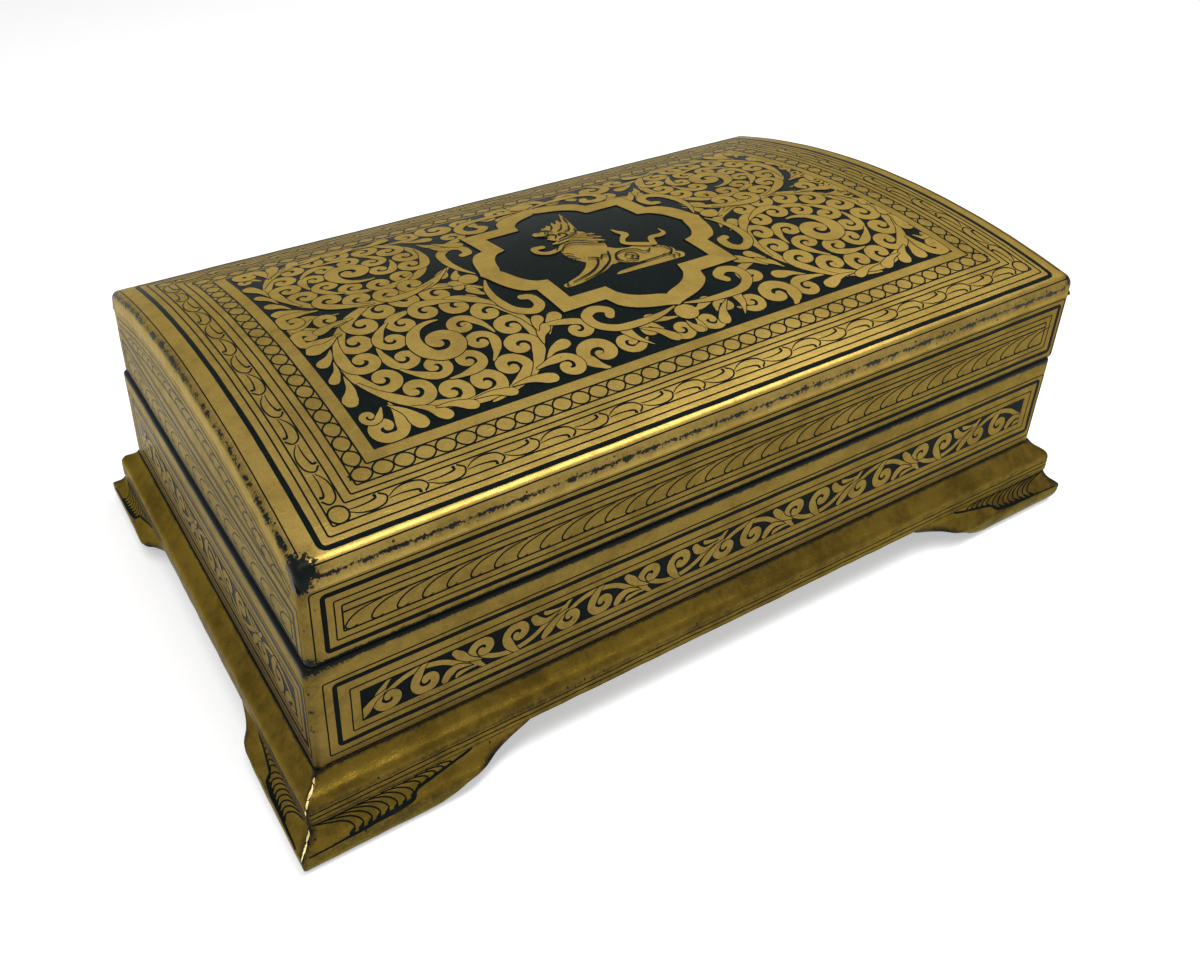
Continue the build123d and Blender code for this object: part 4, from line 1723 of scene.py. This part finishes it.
arcs = []
for depth, half_reach, width in ARCH_LINES:
    u = np.linspace(-half_reach, half_reach, 60)
    arc = np.column_stack([u, arch_height(u, depth), np.full(len(u), width)])
    arcs.append(arc[arc[:, 1] > ARCH_FLOOR])
arcs.append(straight_line((-FLOOR_LINE_END, FLOOR_LINE), (FLOOR_LINE_END, FLOOR_LINE), LINE))
small_leaf = smooth_path(LEAF_LINE) * (0.8, 0.74, 1)
arch_leaves = []
for u in np.arange(ARCH_LEAF_START, ARCH_LEAF_END, ARCH_LEAF_PITCH):
    arch_leaves.append(small_leaf + (u, float(arch_height(u, ARCH_LEAVES)) + 0.1, 0))
garland_end = HALF_DEPTH - END_GARLAND_INSET
for number, side in enumerate(("left", "right")):
    sheet = lid_sheet(side)
    lines = side_frames(HALF_DEPTH, END_FRAMES)
    draw(f"lid_{side}_frames", sheet, lines, "lid", closed=True, seed=51.0 + number)
    draw(f"lid_{side}_arches", sheet, arcs, "lid", seed=53.0 + number)
    draw(f"lid_{side}_arch_leaves", sheet, arch_leaves, "lid", seed=55.0 + number)
    garland(f"lid_{side}_garland", sheet, -garland_end, garland_end, END_GARLAND_LOW, 57.0 + number)
print("ends of the lid painted")

# %% [markdown]
# ## The vine on the case
# The vine is a wave with a group of a leaf, two curls and another leaf in each half period, above the stem
# and below it in turn. The half period is one motif, and the brush tree repeats it, turned over every
# second time.

# %% Paint the case
CASE_FRAMES = (
    (4.6, 29.5, 1.9, 57.0, FINE, 0.6),
    (7.9, 32.4, 4.0, 54.9, 0.74, 0.9),
    (12.1, 35.2, 7.0, 51.3, FINE, 0.4),
)
BAND_LOW, BAND_HIGH = 37.5, 49.2
BAND_MIDDLE = (BAND_LOW + BAND_HIGH) / 2
VINE_REACH = 5.5
HALF_PERIOD = 29.25
VINE_MARGIN = 1.5
VINE_LEFT, VINE_RIGHT = 14.9, 10.2
LOW_LINE, LOW_LINE_INSET = 27.0, 3
VINE_STEM = (
    (-15.8, -3.9, 0.5),
    (-10.5, -0.6, 0.75),
    (-4.5, 3.2, 0.85),
    (1.5, 4.5, 0.9),
    (8.5, 3.0, 0.9),
    (15.2, -1.4, 0.8),
    (20.5, -4.3, 0.5),
)
VINE_CURLS = (((-7.9, -1.3), 4.3, 150, 1, 9.0, 0.06), ((3.6, -1.2), 4.5, 150, 1, 11.0, 0.05))
VINE_LEAVES = (
    ((-16.6, -4.4, 1.1), (-14.8, -2.4, 1.5), (-12.2, 0.2, 0.9), (-8.4, 2.2, 0.2)),
    ((9.2, -4.3, 1.2), (10.6, -2.4, 1.5), (13.2, -1.4, 1.0), (17.4, -2.6, 0.2)),
    ((12.8, -4.9, 0.5), (13.6, -4.2, 0.8), (17.0, -3.8, 0.5), (20.0, -4.1, 0.2)),
)


def vine_motif():
    """One half period of the vine about its middle height, with its group below the crest."""
    curls = [curl(*values) for values in VINE_CURLS]
    return [brush(*VINE_STEM), *curls, *(brush(*points) for points in VINE_LEAVES)]


def vine(name, sheet, left, right, seed):
    """A vine along a black band between two places, as its ground, its dark edges and its gold, which is
    darkened as painted shade.
    """
    slab(f"{name}_ground", sheet, grid(left, BAND_LOW, right, BAND_HIGH), BLACK_LEVEL, black_lacquer, "case")
    run = right - left - 2 * VINE_MARGIN
    count = round(run / HALF_PERIOD)
    pitch = run / count
    middle = left + VINE_MARGIN + pitch / 2
    motif = [path * (pitch / HALF_PERIOD, 1, 1) + (middle, 0, 0) for path in vine_motif()]

    def raised(u, v, lift):
        height = BAND_MIDDLE + np.clip(v, -VINE_REACH, VINE_REACH)
        return sheet(np.clip(u, left + 0.4, right - 0.4), height, lift)

    levels = settle(motif, 0.1, gap=0.4)
    manner = {"waver": 0.1, "seed": seed, "Count": count, "Step": (pitch, 0.0, 0.0), "Alternate": 1}
    gild(name, f"{name}_edges", raised, motif, levels, shaded_vine_gilding, "case", **manner)


for number, side in enumerate(SIDES):
    sheet = case_sheet(side)
    half = SIDES[side][2]
    lines = side_frames(half, CASE_FRAMES)
    draw(f"case_{side}_frames", sheet, lines, "case", closed=True, seed=61.0 + number)
    line_end = half - LOW_LINE_INSET
    low_line = straight_line((-line_end, LOW_LINE), (line_end, LOW_LINE), FINE)
    draw(f"case_{side}_low_line", sheet, [low_line], "case", seed=66.0 + number)
    vine(f"case_{side}_vine", sheet, VINE_LEFT - half, half - VINE_RIGHT, 71.0 + number)
print("case painted")

# %% [markdown]
# ## The lion in the cartouche
# A lion rests in the middle of the lid, a guardian that lacquer painters have drawn for centuries. Broad gold
# strokes build its body, each on a level of its own, and fine black strokes over them draw the mane, the
# haunch and the face.

# %% Paint the lion
LION_BODY = (
    ((157.4, 106.0, 1.9), (158.4, 100.0, 2.0), (158.4, 94.5, 1.5), (157.6, 90.0, 0.8)),
    ((152.6, 106.5, 5.8), (151.6, 99.0, 7.4), (150.4, 92.4, 8.6), (151.4, 87.0, 7.2), (153.0, 84.0, 5.8)),
    ((153.0, 88.0, 5.5), (157.5, 83.5, 5.4), (163.0, 80.6, 5.8), (169.5, 79.4, 6.0), (174.0, 77.4, 4.2)),
    ((176.8, 73.0, 2.4), (170.0, 72.5, 1.8), (159.0, 72.4, 1.3), (153.4, 72.2, 1.05), (150.6, 72.0, 0.7),
     (149.2, 71.8, 0.15)),
    ((152.5, 87.0, 5.4), (149.4, 82.6, 4.9), (145.2, 78.9, 3.6), (138.6, 75.7, 2.3), (132.5, 74.1, 1.6),
     (129.8, 73.6, 1.2)),
    ((156.0, 110.5, 2.6), (158.4, 116.0, 1.8), (160.6, 121.4, 1.0), (162.7, 127.4, 0.15)),
    ((153.4, 113.0, 2.0), (156.2, 118.0, 1.2), (158.0, 122.4, 0.15)),
    ((151.4, 113.6, 2.0), (153.6, 117.8, 1.2), (155.0, 121.2, 0.15)),
    ((149.0, 113.6, 2.0), (151.0, 117.2, 1.1), (151.8, 119.8, 0.15)),
    ((147.2, 113.4, 1.6), (148.4, 116.2, 0.9), (148.6, 118.2, 0.15)),
    ((150.6, 110.4, 5.4), (153.6, 111.0, 5.0)),
    ((149.6, 113.4, 3.9), (152.4, 114.6, 3.9), (155.6, 115.8, 3.2), (157.6, 116.6, 2.4)),
    ((149.6, 111.6, 3.8), (146.0, 112.6, 3.0), (143.7, 113.4, 2.0)),
    ((149.5, 106.8, 2.8), (146.6, 106.4, 1.8), (144.6, 107.6, 0.5)),
    ((149.5, 104.2, 1.8), (146.0, 102.8, 1.1), (143.2, 102.7, 0.3)),
)
LION_TAILS = (
    ((173.8, 83.4, 1.4), (168.8, 86.4, 1.3), (165.4, 89.4, 1.1), (166.8, 92.4, 1.0), (170.0, 95.4, 1.5),
     (168.8, 99.0, 0.9), (168.4, 101.8, 0.15)),
    ((174.2, 83.6, 1.2), (176.4, 88.0, 1.1), (180.6, 88.0, 1.2), (183.0, 89.2, 0.8), (183.2, 92.6, 0.15)),
    ((147.0, 101.2, 0.5), (142.6, 97.8, 1.0), (137.8, 97.0, 1.2), (134.8, 99.6, 1.2), (135.4, 102.8, 1.3),
     (138.4, 102.6, 1.3)),
    ((159.4, 103.4, 0.9), (161.3, 102.0, 0.2)),
    ((159.8, 99.8, 0.9), (161.7, 98.2, 0.2)),
    ((159.4, 96.0, 0.9), (161.2, 94.2, 0.2)),
)
LION_LINES = (
    ((141.4, 97.4, 0.2), (145.6, 101.0, 0.3), (151.6, 100.6, 0.3), (156.6, 96.6, 0.3), (161.2, 94.2, 0.2)),
    ((142.8, 96.2, 0.15), (146.6, 99.2, 0.22), (151.4, 98.8, 0.22), (155.8, 95.0, 0.22), (159.6, 93.0, 0.15)),
    ((146.0, 103.4, 0.15), (151.6, 104.0, 0.22), (156.4, 101.0, 0.22), (160.8, 99.6, 0.15)),
    ((147.6, 105.0, 0.15), (152.6, 106.4, 0.22), (157.0, 104.4, 0.22), (160.4, 103.6, 0.15)),
    ((141.4, 93.6, 0.2), (143.4, 92.6, 0.25), (144.2, 90.8, 0.15)),
    ((140.9, 91.4, 0.2), (143.0, 90.2, 0.25), (143.8, 88.4, 0.15)),
    ((141.4, 89.0, 0.2), (143.4, 87.8, 0.25), (144.4, 86.4, 0.15)),
    ((147.2, 86.4, 0.2), (149.6, 84.8, 0.3), (148.8, 82.2, 0.3), (145.2, 78.8, 0.3), (140.2, 76.4, 0.25),
     (132.6, 74.2, 0.15)),
    ((156.4, 87.4, 0.15), (155.2, 84.8, 0.3), (153.0, 81.2, 0.3), (148.2, 77.6, 0.3), (142.8, 74.9, 0.25),
     (137.0, 73.5, 0.15)),
    ((149.0, 85.4, 0.15), (151.2, 84.0, 0.25), (152.8, 85.6, 0.3), (154.6, 84.8, 0.2)),
    ((131.0, 75.0, 0.15), (130.0, 73.6, 0.25), (130.6, 72.4, 0.15)),
    ((157.4, 76.4, 0.15), (155.8, 80.0, 0.3), (157.6, 83.8, 0.3), (162.0, 84.8, 0.3), (166.0, 82.8, 0.3),
     (167.2, 80.4, 0.25), (169.4, 80.2, 0.3), (170.6, 81.4, 0.15)),
    ((158.6, 79.2, 0.15), (160.4, 77.2, 0.28), (163.0, 77.8, 0.28), (163.4, 80.6, 0.28), (161.4, 82.2, 0.28),
     (159.4, 81.2, 0.15)),
    ((160.6, 79.4, 0.2), (161.6, 79.0, 0.3), (161.8, 80.2, 0.2)),
    ((172.6, 82.8, 0.15), (176.2, 80.4, 0.28), (176.8, 76.8, 0.28), (174.6, 74.8, 0.28), (171.4, 75.0, 0.15)),
    ((152.8, 73.6, 0.15), (160.0, 74.2, 0.28), (168.0, 74.4, 0.28), (172.8, 74.6, 0.15)),
    ((174.0, 74.4, 0.15), (174.6, 72.8, 0.25), (174.0, 71.4, 0.15)),
    ((176.0, 74.2, 0.15), (176.8, 72.6, 0.25), (176.2, 71.2, 0.15)),
    ((142.4, 111.6, 0.15), (145.0, 110.4, 0.3), (147.6, 110.8, 0.3), (148.8, 108.8, 0.28),
     (147.0, 106.6, 0.2)),
    ((144.6, 115.0, 0.15), (146.4, 115.6, 0.3), (148.6, 114.6, 0.3), (149.8, 112.4, 0.15)),
    ((150.4, 105.6, 0.15), (152.4, 106.8, 0.28), (152.2, 109.2, 0.28), (150.2, 109.4, 0.28),
     (150.2, 107.8, 0.2)),
    ((151.6, 112.0, 0.15), (154.2, 113.6, 0.28), (156.8, 117.4, 0.15)),
    ((153.4, 110.0, 0.15), (156.2, 111.2, 0.28), (158.4, 115.2, 0.15)),
    ((154.2, 107.6, 0.15), (156.8, 107.6, 0.28), (158.0, 110.8, 0.15)),
    ((150.0, 114.4, 0.15), (152.0, 116.4, 0.28), (153.2, 119.2, 0.15)),
    ((159.2, 116.4, 0.15), (160.4, 119.8, 0.22), (161.4, 123.4, 0.12)),
)
EYE, EYE_SIZE = (147.2, 112.9), 0.75
BODY_LEVEL, BODY_STEP = 0.11, 0.02
body = [brush(*points) for points in LION_BODY + LION_TAILS]
body_levels = BODY_LEVEL + BODY_STEP * np.arange(len(body))
lines = [smooth_path(points, 0.5) * (1, 1, 1.3) for points in LION_LINES]
line_level = float(body_levels[-1]) + 0.03
eye = circle(*EYE, EYE_SIZE, 0.22, 8)
paint("lion", crown_sheet, body, body_levels, gilded_drawing, "lid", waver=0.05, seed=81.0)
paint("lion_lines", crown_sheet, lines, line_level, black_lacquer, "lid", waver=0.04, seed=82.0)
paint("lion_eye", crown_sheet, [eye], line_level, black_lacquer, "lid", closed=True, waver=0.02, seed=83.0)
print("lion painted with", len(body), "broad strokes and", len(lines), "lines")

# %% [markdown]
# ## The plinth and the feet
# Two fine lines run round the upright band of the plinth. On each bracket a feather grows out of the mitre:
# its vanes fan out along the cove, get smaller, and end on a heavy line that follows the lip.

# %% Paint the plinth and the feet
PLINTH_LINES = (18.4, 16.5)
FOOT_LEVEL = 0.10


def plinth_sheet(side):
    """The layout of the plinth's upright band: run from its middle, and height."""

    def sheet(u, v, lift):
        base = place(side, u, PLINTH_OUT, v)
        return base + (lift + lumps(base))[..., None] * SIDES[side][0]

    return sheet


def foot_sheet(side, hand):
    """The layout of a bracket: distance from its corner, and height."""

    def sheet(u, v, lift):
        base = place(side, hand * (SIDES[side][2] - u), face_out(v), v)
        return base + (lift + FOOT_LUMPS * lumps(base))[..., None] * SIDES[side][0]

    return sheet


FEATHER_EDGE = (
    (-8.4, 7.7, 0.2),
    (0.0, 8.0, 0.26),
    (10.0, 8.3, 0.3),
    (20.0, 8.7, 0.32),
    (25.0, 9.1, 0.34),
    (26.6, 10.2, 0.34),
    (33.0, 11.1, 0.34),
    (40.0, 12.2, 0.34),
    (44.5, 13.1, 0.4),
    (46.0, 13.5, 0.15),
)
VANES = 13
VANE_TOP = 13.5


def vane(start, reach, foot):
    """One vane of a feather, from its top on the mitre's side down to its foot on the heavy edge."""
    drop = VANE_TOP - foot
    return smooth_path(
        (
            (max(start - 0.25 * reach, -4.8), VANE_TOP - 0.05 * drop, 0.1),
            (start + 0.30 * reach, VANE_TOP - 0.14 * drop, 0.16),
            (start + 0.80 * reach, VANE_TOP - 0.45 * drop, 0.2),
            (start + 1.02 * reach, VANE_TOP - 0.80 * drop, 0.24),
            (start + 0.86 * reach, foot + 0.1, 0.34),
        )
    )


def feather(stretch):
    """The strokes of one feather: its heavy edge and its vanes, stretched to its bracket's length."""
    edge = smooth_path(FEATHER_EDGE)
    strokes = [edge]
    for share in np.linspace(0, 1, VANES):
        start, reach = -6.5 + 41.5 * share, 12.5 - 8.6 * share
        foot = float(np.interp(start + reach, edge[:, 0], edge[:, 1]))
        strokes.append(vane(start, reach, foot))
    return [path * (stretch, 1, 1) for path in strokes]


for number, (side, foot_length) in enumerate(FOOT_LENGTHS.items()):
    half = SIDES[side][2] + PLINTH_OUT - 0.8
    lines = [straight_line((-half, height), (half, height), FINE) for height in PLINTH_LINES]
    draw(f"plinth_{side}_lines", plinth_sheet(side), lines, "case", waver=0.08, seed=91.0 + number)
    strokes = feather(foot_length / FOOT_LENGTHS["front"])
    for hand, letter in HANDS:
        sheet, name = foot_sheet(side, hand), f"foot_{side}_{letter}_feather"
        seed = 95.0 + 2 * number + hand
        paint(name, sheet, strokes, FOOT_LEVEL, black_lacquer, "case", waver=0.07, seed=seed)
print("plinth and feet painted")

# %% [markdown]
# Broken streaks of a much brighter gold on the near left mitre are painted highlights: glints where the
# corner catches the light.

# %% Paint highlights on the near left mitre
STREAKS = (
    ((0.1, 25.8, 0.1), (0.0, 25.2, 0.3), (0.3, 24.7, 0.08)),
    ((-0.1, 24.5, 0.1), (0.2, 23.9, 0.26), (0.0, 23.2, 0.4), (-0.2, 22.6, 0.14)),
    ((0.1, 22.5, 0.2), (0.0, 22.0, 0.34), (0.2, 21.3, 0.12)),
    ((-0.1, 21.0, 0.08), (0.0, 20.3, 0.2), (0.1, 19.6, 0.06)),
    ((0.0, 12.7, 0.08), (0.2, 11.9, 0.26), (0.0, 11.1, 0.34), (-0.1, 10.4, 0.12)),
    ((0.1, 10.3, 0.1), (0.0, 9.6, 0.28), (-0.1, 8.7, 0.2), (0.0, 7.8, 0.06)),
)
STREAK_LEVEL = 0.16
plinth_outline = np.array(plinth_section)[:-2, :2]


def mitre_sheet(u, v, lift):
    """The layout of the near left mitre: distance across it, and height."""
    plinth_face = np.interp(v, plinth_outline[:, 1], plinth_outline[:, 0])
    out = np.where(v > BAND_BOTTOM, plinth_face, face_out(v))
    base = place("front", -(HALF_LENGTH + out), out, v)
    across = np.array([cos(pi / 4), -sin(pi / 4), 0])
    outward = np.array([-1, -1, 0])
    return base + (lift + lumps(base))[..., None] * outward + np.asarray(u)[..., None] * across


streaks = [smooth_path(points, 0.3) for points in STREAKS]
paint("mitre_painted_glints", mitre_sheet, streaks, STREAK_LEVEL, painted_glint_gold, "case", waver=0.3, seed=99.0)
print("mitre glints painted")

# %% [markdown]
# ## The floor and the light
# The photograph is cut out on white. The floor and the world read as white to the camera and to gloss. The
# lamp is one long soft box overhead, which draws the bright line on the front arris.

# %% Make the floor
FLOOR_REACH = 3000
FLOOR_GLOW, AMBIENT = 0.45, 0.35


def plainly_seen(tree):
    """1 for rays that show the background, from the camera, gloss and glass, and 0 for the light."""
    path = add_node(tree, "ShaderNodeLightPath").outputs
    seen = calculate(tree, "MAXIMUM", path["Is Camera Ray"], path["Is Glossy Ray"])
    return calculate(tree, "MAXIMUM", seen, path["Is Transmission Ray"])


corners = [(x * FLOOR_REACH, y * FLOOR_REACH, 0) for x, y in ((-1, -1), (1, -1), (1, 1), (-1, 1))]
pale, tree, shader = new_material("pale floor", Base_Color=(0.8, 0.8, 0.8, 1), Roughness=0.9)
glow = calculate(tree, "MULTIPLY", plainly_seen(tree), FLOOR_GLOW)
feed(tree, shader, Emission_Color=(1, 1, 1, 1), Emission_Strength=glow)
floor = make_mesh("floor", corners, [(0, 1, 2, 3)], pale)

# %% [markdown]
# The world is dim for the light that falls on the box, and white for what the camera and the gloss see of it.

# %% Light the box
world = bpy.data.worlds.new("studio")
bpy.context.scene.world = world
world.use_nodes = True
tree = world.node_tree
strength = calculate(tree, "MULTIPLY_ADD", plainly_seen(tree), 1 - AMBIENT, AMBIENT)
feed(tree, tree.nodes["Background"], Color=(1, 1, 1, 1), Strength=strength)


def soft_box(name, location, aim, width, height, power):
    """An area lamp that points at a place, in metres and watts."""
    lamp = bpy.data.lights.new(name, "AREA")
    lamp.shape, lamp.size, lamp.size_y, lamp.energy = "RECTANGLE", width, height, power
    holder = new_object(name, lamp)
    holder.location = location
    holder.rotation_euler = (Vector(aim) - Vector(location)).to_track_quat("-Z", "Y").to_euler()


soft_box("overhead", (0.07, -0.22, 0.95), aim=(0, 0, 0.05), width=1.6, height=0.28, power=12.0)
bpy.context.scene.view_settings.view_transform = "Standard"
print("light ready")
